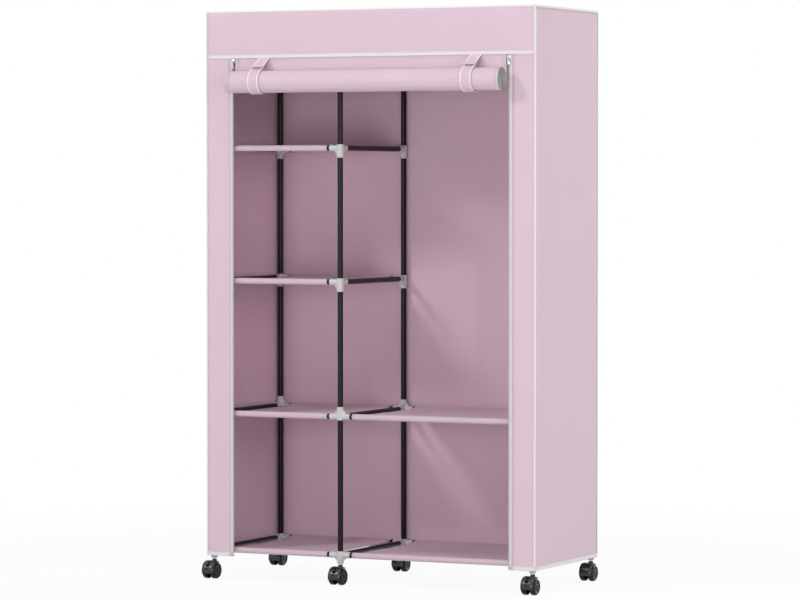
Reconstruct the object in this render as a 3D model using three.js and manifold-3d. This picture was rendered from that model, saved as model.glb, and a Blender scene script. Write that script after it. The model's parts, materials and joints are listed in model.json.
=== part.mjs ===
// Portable fabric wardrobe: a frame of steel tubes in moulded connectors, cloth shelves,
// a zipped cloth cover with its front door rolled up, and six twin-wheel casters.
// Millimetres, +Z up, front towards -Y, origin on the floor under the middle of the whole.

import * as THREE from 'three';
import { mergeVertices } from 'three/addons/utils/BufferGeometryUtils.js';
import Module from 'manifold-3d';

const wasm = await Module();
wasm.setup();

// Frame: distances between post axes, and tube axis heights one above the other
const leftBayWidth = 422;
const rightBayWidth = 618;
const frameDepth = 424;
const lowestTubeHeight = 87;
const shoeBayHeight = 407;
const lowerBayHeight = 395;
const middleBayHeight = 393;
const upperBayHeight = 391.2;

// Steel tube
const tubeDiameter = 16;
const tubeWall = 0.8;
const tubeSides = 8;

// Clearances, and the overrun of every cut
const seatGap = 0.3;
const overrun = 2;

// Moulded connector: a barrel on the post, sockets with gussets, and a tapered leg
const barrelDiameter = 23;
const barrelCrown = 11;
const legReach = 31;
const legEndDiameter = 19;
const socketDiameter = 19.6;
const socketReach = 33;
const socketFloor = 12;
const gussetThickness = 7;
const gussetReach = 22;
const gussetSetback = 6;
const gussetEdge = 3;
const capThickness = 3;

// Foot of a post, which takes a caster stem
const footHeight = 61;
const footDiameter = 16.8;

// Clip-on tee that carries the hanging rod under a top side tube
const teeDrop = 22;
const teeCollarDiameter = 22;
const teeCollarLength = 26;
const teeNeckThickness = 17;

// Cloth shelf: sleeves round the front and back tubes, and a panel that sags a little
const clothThickness = 1.5;
const sleeveThickness = 1.25;
const shelfEndSetback = 41;
const shelfSag = 2.2;
const sagShares = [[0, 0], [0.15, 0.7], [0.35, 1], [0.65, 1], [0.85, 0.7], [1, 0]];

// Cover: slack to the connectors, piping, hem, front strips and zipper tapes
const sideSlack = 0.3;
const frontSlack = 6;
const backSlack = 2.5;
const pipingDiameter = 3.4;
const pipingProud = 1.9;
const pipingSides = 8;
const hemHeight = 69;
const hemBand = 10;
const hemExtra = 0.4;
const leftStripWidth = 81;
const rightStripWidth = 73;
const tapeWidth = 9.7;
const tapeThickness = 1.1;
const chainDiameter = 3.4;
const chainSides = 8;

// Header that hangs over the front of the cover
const headerHeight = 140;
const headerBand = 12;
const headerBandExtra = 0.4;
const headerSeam = 1.8;

// Rolled door: a panel behind the header that runs down into a spiral roll
const rollDiameter = 66;
const rollForward = 38.5;
const rollDrop = 209;
const rollTurns = 5;
const rollPitch = 5.4;
const roundTurnShare = 0.5;
const doorThickness = 1.8;
const doorSideGap = 7.5;
const doorBend = 2;
const spiralSteps = 16;

// Straps that hold the roll
const strapWidth = 36;
const strapThickness = 1.6;
const strapInset = 104.3;
const strapStart = 1.2;
const strapTail = 18;
const strapStepAngle = 16;

// Zip slider and its pull tab
const sliderWidth = 9.5;
const sliderFootWidth = 6;
const sliderLength = 11;
const sliderShoulderShare = 0.55;
const sliderThickness = 6.6;
const sliderHeaderGap = 1.5;
const sliderClearance = 0.35;
const bailWidth = 2.6;
const bailHeight = 5.4;
const bailReach = 3.9;
const bailHoleDiameter = 2.9;
const pullLength = 22;
const pullWidth = 7.5;
const pullThickness = 1.5;
const pullBar = 1.5;
const pullWindowWidth = 4;
const pullWindowLength = 4.6;
const pullHoleDiameter = 3;
const pullSides = 8;

// Twin-wheel caster
const wheelDiameter = 50;
const wheelWidth = 13;
const wheelSpacing = 14.6;
const wheelSides = 16;
const treadRound = 4.5;
const treadCornerShare = 0.33;
const hubRecess = 0.9;
const hubRim = 5.5;
const casterTrail = 17;
const axleDiameter = 6;
const axleSeat = 10;
const hoodGap = 1.5;
const hoodWall = 2.5;
const hoodWidth = 36;
const hoodShoulder = 5.5;
const hoodShoulderDrop = 1.6;
const hoodFrontAngle = -14;
const hoodBackAngle = 118;
const webThickness = 13;
const webFootRadius = 9;
const webFootSpread = 30;
const stemBossDiameter = 13;
const stemBossDepth = 21;
const collarDiameter = 12;
const collarHeight = 4.5;
const stemDiameter = 8;
const stemLength = 26;
const stemChamfer = 1;
const stemSides = 8;

// Brake pedal in the hood of a front caster
const pedalWidth = 8.4;
const pedalClearance = 0.4;
const pedalPivotRadius = 22.5;
const pedalPivotAngle = 62;
const pedalLength = 17;
const pedalThickness = 3;
const pedalHubDiameter = 6.4;
const pedalPinDiameter = 2.4;
const pedalTravel = 14;
const pedalSlackAngle = 2.5;
const pedalSides = 8;

// Places worked out from the sizes above
const tubeRadius = tubeDiameter / 2;
const boreRadius = tubeRadius + seatGap;
const barrelRadius = barrelDiameter / 2;
const leftPost = -(leftBayWidth + rightBayWidth) / 2;
const middlePost = leftPost + leftBayWidth;
const rightPost = middlePost + rightBayWidth;
const frontPost = -frameDepth / 2;
const backPost = frameDepth / 2;
const secondLevel = lowestTubeHeight + shoeBayHeight;
const thirdLevel = secondLevel + lowerBayHeight;
const fourthLevel = thirdLevel + middleBayHeight;
const topLevel = fourthLevel + upperBayHeight;
const rodEnd = socketFloor + seatGap;
const coverTop = topLevel + barrelCrown + seatGap + clothThickness;
const sideFace = rightPost + barrelRadius + sideSlack + clothThickness;
const frontFace = frontPost - barrelRadius - frontSlack - clothThickness;
const backFace = backPost + barrelRadius + backSlack + clothThickness;
const pipingRadius = pipingDiameter / 2;
const pipingSide = sideFace + pipingProud - pipingRadius;
const pipingFront = frontFace - pipingProud + pipingRadius;
const pipingBack = backFace + pipingProud - pipingRadius;
const wrapTop = coverTop - pipingDiameter - seatGap;
const leftStripEdge = -sideFace - pipingProud + leftStripWidth;
const rightStripEdge = sideFace + pipingProud - rightStripWidth;
const leftChain = leftStripEdge + tapeWidth;
const rightChain = rightStripEdge - tapeWidth;
const chainRadius = chainDiameter / 2;
const tapePlane = frontFace + clothThickness / 2;
const headerBottom = coverTop - headerHeight;
const doorPlane = frontFace + doorThickness / 2;
const rollRadius = rollDiameter / 2;
const rollY = frontFace - rollForward;
const rollZ = coverTop - rollDrop;
const sliderTop = headerBottom - sliderHeaderGap;
const pullPivotZ = sliderTop - sliderLength / 2;
const sliderFront = tapePlane - sliderThickness / 2;
const pullPivotY = sliderFront - bailReach / 2;
const wheelRadius = wheelDiameter / 2;
const axleHeight = wheelRadius * Math.cos(Math.PI / wheelSides);
const hoodInner = wheelRadius + hoodGap;
const hoodOuter = hoodInner + hoodWall;
const collarTop = hoodOuter + collarHeight;

// Directions
const east = new THREE.Vector3(1, 0, 0);
const west = new THREE.Vector3(-1, 0, 0);
const north = new THREE.Vector3(0, 1, 0);
const south = new THREE.Vector3(0, -1, 0);
const up = new THREE.Vector3(0, 0, 1);

// Materials
const look = (color, roughness, metalness) =>
  new THREE.MeshStandardMaterial({ color, roughness, metalness });
const blackTube = look(0x1c1b1d, 0.38, 0.55);
const whiteUpright = look(0xd4d6d6, 0.45, 0.05);
const pinkCloth = look(0xdcc3d0, 0.9, 0);
const shelfCloth = look(0xd6becd, 0.9, 0);
const chromeZip = look(0xc4c6c9, 0.2, 1);
const blackMoulding = look(0x29292b, 0.45, 0);
const wheelMoulding = look(0x38383a, 0.5, 0);

// A closed geometry as a solid for joining and cutting, and back again
function solid(geometry) {
  const bare = geometry.clone();
  bare.deleteAttribute('normal');
  bare.deleteAttribute('uv');
  const merged = mergeVertices(bare);
  return new wasm.Manifold(new wasm.Mesh({
    numProp: 3,
    vertProperties: Float32Array.from(merged.attributes.position.array),
    triVerts: Uint32Array.from(merged.index.array),
  }));
}

function geometryOf(body) {
  const mesh = body.getMesh();
  const geometry = new THREE.BufferGeometry();
  geometry.setAttribute('position', new THREE.BufferAttribute(mesh.vertProperties, 3));
  geometry.setIndex(new THREE.BufferAttribute(mesh.triVerts, 1));
  geometry.computeVertexNormals();
  return geometry;
}

const join = (solids) => solids.reduce((whole, next) => whole.add(next));

const cut = (body, tools) => tools.reduce((left, tool) => left.subtract(tool), body);

// A profile of [radius, height] points turned about an axis; half a step of turn puts a flat down
function turned(points, sides, direction = up, stepShare = 0) {
  const profile = points.map(([radius, height]) => new THREE.Vector2(radius, height));
  const geometry = new THREE.LatheGeometry(profile, sides, stepShare * 2 * Math.PI / sides);
  geometry.rotateX(Math.PI / 2);
  geometry.applyQuaternion(new THREE.Quaternion().setFromUnitVectors(up, direction));
  return solid(geometry);
}

const peg = (radius, from, to, sides, direction) =>
  turned([[0, from], [radius, from], [radius, to], [0, to]], sides, direction);

const pipe = (outer, inner, from, to, direction) =>
  turned([[inner, from], [outer, from], [outer, to], [inner, to], [inner, from]],
    tubeSides, direction);

const steelTube = (length, direction) =>
  pipe(tubeRadius, tubeRadius - tubeWall, 0, length, direction);

// An outline whose x runs along one direction and whose y runs up, given a thickness about
// its own plane
function plate(shape, along, thickness) {
  const settings = { depth: thickness, bevelEnabled: false, curveSegments: 6 };
  const geometry = new THREE.ExtrudeGeometry(shape, settings);
  geometry.translate(0, 0, -thickness / 2);
  const across = new THREE.Vector3().crossVectors(along, up);
  geometry.applyMatrix4(new THREE.Matrix4().makeBasis(along, up, across));
  return solid(geometry);
}

// A plan outline raised between two heights
function raised(shape, bottom, top) {
  const geometry = new THREE.ExtrudeGeometry(shape, { depth: top - bottom, bevelEnabled: false });
  return solid(geometry.translate(0, 0, bottom));
}

// A box between two opposite corners
function block(corner, opposite) {
  const size = corner.map((value, axis) => Math.abs(opposite[axis] - value));
  const centre = corner.map((value, axis) => (value + opposite[axis]) / 2);
  return solid(new THREE.BoxGeometry(...size).translate(...centre));
}

const outline = (points) => new THREE.Shape(points.map(([x, y]) => new THREE.Vector2(x, y)));

const around = (radius, degrees) => {
  const angle = THREE.MathUtils.degToRad(degrees);
  return [radius * Math.cos(angle), radius * Math.sin(angle)];
};

// The outline of a band of cloth seen edge on: its middle line given a thickness
function ribbon(line, thickness) {
  const points = line.map(([x, y]) => new THREE.Vector2(x, y));
  const steps = points.slice(1).map((point, i) => point.clone().sub(points[i]).normalize());
  const side = (sign) => points.map((point, i) => {
    const arriving = steps[Math.max(i - 1, 0)];
    const leaving = steps[Math.min(i, steps.length - 1)];
    const ahead = arriving.clone().add(leaving).normalize();
    const normal = new THREE.Vector2(-ahead.y, ahead.x);
    return normal.multiplyScalar(sign * thickness / 2 / ahead.dot(leaving)).add(point);
  });
  return new THREE.Shape([...side(1), ...side(-1).reverse()]);
}

// Frame tubes, connectors and uprights

// A gusset fills the corner between a socket and the leg; legSign is -1 for a leg that hangs
function gusset(direction, legSign, reach) {
  const root = legSign * (socketDiameter / 2 - gussetEdge);
  const tip = legSign * (reach - gussetSetback);
  const shape = outline([[0, 0], [gussetReach, 0], [gussetReach, root], [tubeRadius, tip], [0, tip]]);
  return plate(shape, direction, gussetThickness);
}

function connector({ sockets, legSign, reach = legReach, endDiameter = legEndDiameter }) {
  const profile = [
    [0, -barrelCrown],
    [barrelRadius, -barrelCrown],
    [barrelRadius, barrelCrown],
    [endDiameter / 2, reach],
    [0, reach],
  ];
  const upwards = legSign > 0 ? profile : profile.map(([r, h]) => [r, -h]).reverse();
  const barrel = turned(upwards, tubeSides);
  return join([
    barrel,
    ...sockets.map((direction) => peg(socketDiameter / 2, 0, socketReach, tubeSides, direction)),
    ...sockets.map((direction) => gusset(direction, legSign, reach)),
  ]);
}

// The connectors of a post: heights, and which way the leg points at each
const fullPost = [lowestTubeHeight, secondLevel, thirdLevel, fourthLevel, topLevel];
const rightHandPost = [lowestTubeHeight, secondLevel, topLevel];

function upright(heights, socketsAt) {
  const foot = {
    legSign: -1,
    reach: lowestTubeHeight - footHeight,
    endDiameter: footDiameter,
  };
  const fittings = heights.map((height) => {
    const legSign = height === secondLevel ? 1 : -1;
    const shape = height === lowestTubeHeight ? foot : { legSign };
    return connector({ sockets: socketsAt(height), ...shape }).translate(0, 0, height);
  });
  const post = peg(tubeRadius, lowestTubeHeight, topLevel, tubeSides);
  const postFloor = lowestTubeHeight + capThickness;
  const hollow = peg(tubeRadius - tubeWall, postFloor, topLevel + barrelCrown - capThickness,
    tubeSides);
  const stemHole = peg((stemDiameter / 2 + seatGap) / Math.cos(Math.PI / stemSides),
    footHeight - overrun, postFloor + overrun, stemSides);
  const rodBores = heights.flatMap((height) => socketsAt(height).map((direction) =>
    peg(boreRadius, socketFloor, socketReach + overrun, tubeSides, direction)
      .translate(0, 0, height)));
  return cut(join([post, ...fittings]), [hollow, stemHole, ...rodBores]);
}

const bothBayLevels = [lowestTubeHeight, secondLevel, topLevel];
const leftSockets = (toBack) => () => [east, toBack];
const middleSockets = (toBack) => (height) =>
  (bothBayLevels.includes(height) ? [west, east, toBack] : [west, toBack]);
const rightSockets = (toBack) => () => [west, toBack];

const sideTubeLength = frameDepth - 2 * rodEnd;
const leftRodLength = leftBayWidth - 2 * rodEnd;
const rightRodLength = rightBayWidth - 2 * rodEnd;

// The top side tube of the hanging bay, with the tee that carries one end of the hanging rod
function sideTubeWithTee(direction) {
  const collarMiddle = sideTubeLength / 2;
  const collar = peg(teeCollarDiameter / 2, collarMiddle - teeCollarLength / 2,
    collarMiddle + teeCollarLength / 2, tubeSides, north);
  const socket = peg(socketDiameter / 2, -barrelRadius, socketReach, tubeSides, direction)
    .translate(0, collarMiddle, -teeDrop);
  const halfNeck = teeNeckThickness / 2;
  const neck = block(
    [-halfNeck, collarMiddle - halfNeck, -teeDrop],
    [halfNeck, collarMiddle + halfNeck, 0],
  );
  const rodBore = peg(boreRadius, socketFloor, socketReach + overrun, tubeSides, direction)
    .translate(0, collarMiddle, -teeDrop);
  const hollow = peg(tubeRadius - tubeWall, -overrun, sideTubeLength + overrun, tubeSides, north);
  return cut(join([steelTube(sideTubeLength, north), collar, socket, neck]), [hollow, rodBore]);
}

// Shelf: two tubes in their sleeves and the cloth panel between them
function shelf(bayWidth) {
  const sleeveRadius = tubeRadius + sleeveThickness;
  const rodLength = bayWidth - 2 * rodEnd;
  const sleeveStart = shelfEndSetback - rodEnd;
  const sleeveEnd = rodLength - sleeveStart;
  const rod = peg(tubeRadius, 0, rodLength, tubeSides, east)
    .add(peg(sleeveRadius, sleeveStart, sleeveEnd, tubeSides, east));
  const panelTop = sleeveRadius - clothThickness / 2;
  const line = sagShares.map(([depthShare, sagShare]) =>
    [depthShare * frameDepth, panelTop - sagShare * shelfSag]);
  const panel = plate(ribbon(line, clothThickness), north, sleeveEnd - sleeveStart)
    .translate(sleeveStart + (sleeveEnd - sleeveStart) / 2, 0, 0);
  return join([rod, rod.translate(0, frameDepth, 0), panel]);
}

// Cover: side, back and front cloth in one wrap with piping, hem and zipper tapes
function wrapPlan(extra) {
  const half = (clothThickness - extra) / 2;
  return ribbon([
    [leftStripEdge, frontFace + half],
    [-sideFace + half, frontFace + half],
    [-sideFace + half, backFace - half],
    [sideFace - half, backFace - half],
    [sideFace - half, frontFace + half],
    [rightStripEdge, frontFace + half],
  ], clothThickness + extra);
}

function coverWrap() {
  const walls = raised(wrapPlan(0), hemHeight, wrapTop);
  const hem = raised(wrapPlan(hemExtra), hemHeight, hemHeight + hemBand);
  const piping = peg(pipingRadius, hemHeight, wrapTop, pipingSides);
  const corners = [-pipingSide, pipingSide].flatMap((x) => [pipingFront, pipingBack]
    .map((y) => piping.translate(x, y, 0)));
  const tape = (edge, chain) => block(
    [edge + Math.sign(edge - chain) * overrun, tapePlane - tapeThickness / 2, hemHeight],
    [chain, tapePlane + tapeThickness / 2, wrapTop],
  );
  const chain = peg(chainRadius, hemHeight, headerBottom - seatGap, chainSides);
  return join([
    walls,
    hem,
    ...corners,
    tape(leftStripEdge, leftChain),
    tape(rightStripEdge, rightChain),
    chain.translate(leftChain, tapePlane, 0),
    chain.translate(rightChain, tapePlane, 0),
  ]);
}

// Top panel with its piping, and the header that hangs from its front edge
function coverTopPanel() {
  const pipingHeight = coverTop - pipingRadius;
  const panel = block(
    [-pipingSide, pipingFront, coverTop - clothThickness],
    [pipingSide, pipingBack, coverTop],
  );
  const acrossBead = peg(pipingRadius, -pipingSide - pipingRadius, pipingSide + pipingRadius,
    pipingSides, east);
  const sideBead = peg(pipingRadius, pipingFront, pipingBack, pipingSides, north);
  const headerSide = pipingSide - pipingRadius - seatGap;
  const headerBack = frontFace - seatGap;
  const headerFront = headerBack - clothThickness;
  const halfSeam = headerSeam / 2;
  return join([
    panel,
    acrossBead.translate(0, pipingFront, pipingHeight),
    acrossBead.translate(0, pipingBack, pipingHeight),
    sideBead.translate(-pipingSide, 0, pipingHeight),
    sideBead.translate(pipingSide, 0, pipingHeight),
    block([-headerSide, headerFront, headerBottom], [headerSide, headerBack, pipingHeight]),
    block([-headerSide, headerFront, pipingHeight - halfSeam],
      [headerSide, pipingFront, pipingHeight + halfSeam]),
    block([-headerSide, headerFront - headerBandExtra, headerBottom],
      [headerSide, headerBack, headerBottom + headerBand]),
  ]);
}

// Rolled door: half a turn stays round, then the spiral closes in by a steady pitch
const rollLineRadius = rollRadius - doorThickness / 2;
const spiralRadius = (turn) => rollLineRadius - rollPitch * Math.max(0, turn - roundTurnShare);
const leastRollGap = spiralRadius(0) - spiralRadius(1) - doorThickness;
console.log(`Least gap between the turns of the rolled door: ${leastRollGap.toFixed(2)} mm`);

function rolledDoor() {
  const steps = rollTurns * spiralSteps;
  const spiral = Array.from({ length: steps + 1 }, (_, i) => {
    const turn = i / spiralSteps;
    const [y, z] = around(spiralRadius(turn), -360 * turn);
    return [rollY + y, rollZ + z];
  });
  const panel = [
    [doorPlane, wrapTop],
    [doorPlane, headerBottom - doorBend],
    [rollY + rollLineRadius, rollZ],
    [rollY + rollLineRadius, rollZ - doorBend],
  ];
  const doorWidth = rightChain - leftChain - 2 * doorSideGap;
  const middle = (leftChain + rightChain) / 2;
  return join([
    plate(ribbon(spiral, doorThickness), north, doorWidth),
    plate(ribbon(panel, doorThickness), north, doorWidth),
  ]).translate(middle, 0, 0);
}

// A strap leaves the header, goes over the front of the roll, and comes up behind the door
function doorStrap() {
  const halfStep = THREE.MathUtils.degToRad(strapStepAngle / 2);
  const radius = (rollRadius + seatGap) / Math.cos(halfStep) + strapThickness / 2;
  const start = [frontFace - strapStart, headerBottom - seatGap];
  const bend = [start[0], start[1] - doorBend];
  const away = Math.hypot(bend[0] - rollY, bend[1] - rollZ);
  const bearing = Math.atan2(bend[1] - rollZ, bend[0] - rollY) + Math.acos(radius / away);
  const first = THREE.MathUtils.radToDeg(bearing);
  const wrapAngle = 360 - first;
  const steps = Math.ceil(wrapAngle / strapStepAngle);
  const round = Array.from({ length: steps + 1 }, (_, i) => {
    const [y, z] = around(radius, first + wrapAngle * i / steps);
    return [rollY + y, rollZ + z];
  });
  const behind = doorPlane + radius - rollLineRadius;
  const line = [start, bend, ...round, [behind, headerBottom - doorBend],
    [behind, headerBottom + strapTail]];
  return plate(ribbon(line, strapThickness), north, strapWidth);
}

// Zip slider on its chain; tapeSign is -1 when the tape lies to the left of the chain
function zipSlider(tapeSign) {
  const half = sliderWidth / 2;
  const halfFoot = sliderFootWidth / 2;
  const shoulder = sliderTop - sliderShoulderShare * sliderLength;
  const foot = sliderTop - sliderLength;
  const shape = outline([[-half, shoulder], [-halfFoot, foot], [halfFoot, foot],
    [half, shoulder], [half, sliderTop], [-half, sliderTop]]);
  const body = plate(shape, east, sliderThickness).translate(0, tapePlane, 0);
  const channel = peg(chainRadius + sliderClearance, foot - overrun, sliderTop + overrun,
    chainSides);
  const slot = tapeThickness / 2 + sliderClearance;
  const tapeSlot = block(
    [0, tapePlane - slot, foot - overrun],
    [tapeSign * sliderWidth, tapePlane + slot, sliderTop + overrun],
  );
  const bailBack = sliderFront + sliderClearance;
  const bailFront = sliderFront - bailReach;
  const halfBail = bailHeight / 2;
  const bailShape = outline([
    [bailBack, pullPivotZ - halfBail],
    [bailFront + bailReach / 2, pullPivotZ - halfBail],
    [bailFront, pullPivotZ - halfBail / 2],
    [bailFront, pullPivotZ + halfBail / 2],
    [bailFront + bailReach / 2, pullPivotZ + halfBail],
    [bailBack, pullPivotZ + halfBail],
  ]);
  const bail = plate(bailShape, north, bailWidth);
  const bailHole = peg(bailHoleDiameter / 2, -sliderWidth, sliderWidth, pullSides, east)
    .translate(0, pullPivotY, pullPivotZ);
  return cut(join([body, bail]), [channel.translate(0, tapePlane, 0), tapeSlot, bailHole]);
}

// Pull tab: its top bar turns in the slider's bail
function zipPull() {
  const halfBar = pullBar / 2;
  const half = pullWidth / 2;
  const halfWindow = pullWindowWidth / 2;
  const windowFoot = -halfBar - pullWindowLength;
  const shape = new THREE.Shape();
  shape.moveTo(-half, halfBar);
  shape.lineTo(-half, half - pullLength);
  shape.absarc(0, half - pullLength, half, Math.PI, 2 * Math.PI, false);
  shape.lineTo(half, halfBar);
  shape.closePath();
  shape.holes.push(new THREE.Path([[-halfWindow, -halfBar], [halfWindow, -halfBar],
    [halfWindow, windowFoot], [-halfWindow, windowFoot]].map(([x, z]) => new THREE.Vector2(x, z))));
  const grip = new THREE.Path();
  grip.absarc(0, half - pullLength, pullHoleDiameter / 2, 0, 2 * Math.PI, true);
  shape.holes.push(grip);
  return plate(shape, east, pullThickness);
}

// Caster pieces, drawn about the axle

function wheel() {
  const bore = axleDiameter / 2 + seatGap;
  const hub = wheelRadius - hubRim;
  const corner = treadRound * treadCornerShare;
  return turned([
    [0, axleSeat],
    [bore, axleSeat],
    [bore, 0],
    [wheelRadius, 0],
    [wheelRadius, wheelWidth - treadRound],
    [wheelRadius - corner, wheelWidth - corner],
    [wheelRadius - treadRound, wheelWidth],
    [hub, wheelWidth],
    [hub - hubRecess, wheelWidth - hubRecess],
    [0, wheelWidth - hubRecess],
  ], wheelSides, east, 0.5);
}

const pedalPivot = around(pedalPivotRadius, 180 - pedalPivotAngle);

function casterHood(withBrake) {
  const halfHood = hoodWidth / 2;
  const shell = turned([
    [hoodInner, -halfHood],
    [hoodOuter - hoodShoulderDrop, -halfHood],
    [hoodOuter, hoodShoulder - halfHood],
    [hoodOuter, halfHood - hoodShoulder],
    [hoodOuter - hoodShoulderDrop, halfHood],
    [hoodInner, halfHood],
    [hoodInner, -halfHood],
  ], wheelSides, east, 0.5);
  const far = 2 * hoodOuter;
  const middleAngle = (hoodFrontAngle + hoodBackAngle) / 2;
  const sector = outline([
    [0, 0],
    around(far, 180 - hoodFrontAngle),
    around(far, 180 - (hoodFrontAngle + middleAngle) / 2),
    around(far, 180 - middleAngle),
    around(far, 180 - (middleAngle + hoodBackAngle) / 2),
    around(far, 180 - hoodBackAngle),
  ]);
  const cap = shell.intersect(plate(sector, north, 2 * hoodWidth));

  const bossRadius = stemBossDiameter / 2;
  const webSkin = hoodInner + hoodWall / 2;
  const web = new THREE.Shape();
  web.moveTo(...around(webSkin, 180 - hoodFrontAngle));
  web.absarc(0, 0, webSkin, THREE.MathUtils.degToRad(180 - hoodFrontAngle),
    THREE.MathUtils.degToRad(180 - hoodBackAngle), true);
  web.lineTo(casterTrail + bossRadius / 2, webSkin - stemBossDepth / 2);
  web.lineTo(casterTrail, webSkin - stemBossDepth);
  web.lineTo(...around(webFootRadius, 270 + webFootSpread));
  web.lineTo(...around(webFootRadius, 270 - webFootSpread));
  const body = join([
    cap,
    plate(web, north, webThickness),
    turned([
      [0, hoodOuter - stemBossDepth],
      [bossRadius, hoodOuter - stemBossDepth],
      [bossRadius, hoodOuter - hoodWall],
      [collarDiameter / 2, hoodOuter],
      [collarDiameter / 2, collarTop],
      [stemDiameter / 2, collarTop],
      [stemDiameter / 2, collarTop + stemLength - stemChamfer],
      [stemDiameter / 2 - stemChamfer, collarTop + stemLength],
      [0, collarTop + stemLength],
    ], stemSides).translate(0, casterTrail, 0),
    peg(axleDiameter / 2, -wheelSpacing / 2 - axleSeat + seatGap,
      wheelSpacing / 2 + axleSeat - seatGap, stemSides, east),
  ]);
  if (!withBrake) return body;

  const pocketHalf = pedalWidth / 2 + pedalClearance;
  const hub = pedalHubDiameter / 2 + pedalClearance;
  const reach = pedalLength + hoodWall;
  const halfArm = pedalThickness / 2 + pedalClearance;
  const drop = reach * Math.tan(THREE.MathUtils.degToRad(pedalTravel + pedalSlackAngle));
  const pocket = plate(outline([
    [0, halfArm],
    [-reach, halfArm],
    [-reach, -halfArm - drop],
    [0, -halfArm],
  ]), north, 2 * pocketHalf).translate(0, ...pedalPivot);
  const hubPocket = peg(hub, -pocketHalf, pocketHalf, pedalSides, east)
    .translate(0, ...pedalPivot);
  const pin = peg(pedalPinDiameter / 2, -pocketHalf - seatGap, pocketHalf + seatGap,
    pedalSides, east).translate(0, ...pedalPivot);
  return cut(body, [pocket, hubPocket]).add(pin);
}

// Brake pedal, drawn about its pin
function brakePedal() {
  const halfWidth = pedalWidth / 2;
  const halfArm = pedalThickness / 2;
  const arm = plate(outline([
    [0, halfArm],
    [-pedalLength + halfArm, halfArm],
    [-pedalLength, 0],
    [-pedalLength + halfArm, -halfArm],
    [0, -halfArm],
  ]), north, pedalWidth);
  const hub = peg(pedalHubDiameter / 2, -halfWidth, halfWidth, pedalSides, east);
  const hole = peg(pedalPinDiameter / 2 + seatGap, -halfWidth - overrun, halfWidth + overrun,
    pedalSides, east);
  return cut(join([arm, hub]), [hole]);
}

// The assembly

const wardrobe = new THREE.Group();

function place(parent, name, geometry, material, x = 0, y = 0, z = 0) {
  const mesh = new THREE.Mesh(geometry, material.clone());
  mesh.name = name;
  mesh.position.set(x, y, z);
  parent.add(mesh);
  return mesh;
}

const uprights = [
  ['front_left', leftPost, frontPost, fullPost, leftSockets(north)],
  ['front_middle', middlePost, frontPost, fullPost, middleSockets(north)],
  ['front_right', rightPost, frontPost, rightHandPost, rightSockets(north)],
  ['back_left', leftPost, backPost, fullPost, leftSockets(south)],
  ['back_middle', middlePost, backPost, fullPost, middleSockets(south)],
  ['back_right', rightPost, backPost, rightHandPost, rightSockets(south)],
];
for (const [name, x, y, heights, socketsAt] of uprights) {
  place(wardrobe, `upright_${name}`, geometryOf(upright(heights, socketsAt)), whiteUpright, x, y);
}

const plainSideTube = geometryOf(steelTube(sideTubeLength, north));
const teeTubes = {
  middle: geometryOf(sideTubeWithTee(east)),
  right: geometryOf(sideTubeWithTee(west)),
};
for (const [side, x] of [['left', leftPost], ['middle', middlePost], ['right', rightPost]]) {
  fullPost.forEach((height, level) => {
    if (side === 'right' && !rightHandPost.includes(height)) return;
    const geometry = (height === topLevel && teeTubes[side]) || plainSideTube;
    place(wardrobe, `side_tube_${side}_${level + 1}`, geometry, blackTube,
      x, frontPost + rodEnd, height);
  });
}

const topTubes = {
  left: [geometryOf(steelTube(leftRodLength, east)), leftPost + rodEnd],
  right: [geometryOf(steelTube(rightRodLength, east)), middlePost + rodEnd],
};
for (const [side, [geometry, x]] of Object.entries(topTubes)) {
  place(wardrobe, `top_tube_front_${side}`, geometry, blackTube, x, frontPost, topLevel);
  place(wardrobe, `top_tube_back_${side}`, geometry, blackTube, x, backPost, topLevel);
}
place(wardrobe, 'hanging_rod', topTubes.right[0], blackTube,
  middlePost + rodEnd, 0, topLevel - teeDrop);

const leftShelf = geometryOf(shelf(leftBayWidth));
const rightShelf = geometryOf(shelf(rightBayWidth));
[lowestTubeHeight, secondLevel, thirdLevel, fourthLevel].forEach((height, level) =>
  place(wardrobe, `shelf_left_${level + 1}`, leftShelf, shelfCloth,
    leftPost + rodEnd, frontPost, height));
[lowestTubeHeight, secondLevel].forEach((height, level) =>
  place(wardrobe, `shelf_right_${level + 1}`, rightShelf, shelfCloth,
    middlePost + rodEnd, frontPost, height));

place(wardrobe, 'cover_wrap', geometryOf(coverWrap()), pinkCloth);
place(wardrobe, 'cover_top', geometryOf(coverTopPanel()), pinkCloth);
place(wardrobe, 'rolled_door', geometryOf(rolledDoor()), pinkCloth);
const strap = geometryOf(doorStrap());
place(wardrobe, 'door_strap_left', strap, pinkCloth, leftChain + strapInset);
place(wardrobe, 'door_strap_right', strap, pinkCloth, rightChain - strapInset);

const pull = geometryOf(zipPull());
for (const [side, x, tapeSign] of [['left', leftChain, -1], ['right', rightChain, 1]]) {
  place(wardrobe, `zip_slider_${side}`, geometryOf(zipSlider(tapeSign)), chromeZip, x);
  place(wardrobe, `zip_pull_${side}`, pull, chromeZip, x, pullPivotY, pullPivotZ);
}

const wheelShape = geometryOf(wheel());
const hoodShapes = { front: geometryOf(casterHood(true)), back: geometryOf(casterHood(false)) };
const pedalShape = geometryOf(brakePedal());
for (const [name, x, y] of uprights) {
  const caster = new THREE.Group();
  caster.position.set(x, y - casterTrail, axleHeight);
  wardrobe.add(caster);
  const row = name.split('_')[0];
  place(caster, `caster_hood_${name}`, hoodShapes[row], blackMoulding);
  place(caster, `wheel_${name}_east`, wheelShape, wheelMoulding, wheelSpacing / 2);
  const westWheel = place(caster, `wheel_${name}_west`, wheelShape, wheelMoulding,
    -wheelSpacing / 2);
  westWheel.rotation.z = Math.PI;
  if (row === 'front') {
    place(caster, `brake_pedal_${name}`, pedalShape, blackMoulding, 0, ...pedalPivot);
  }
}

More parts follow.
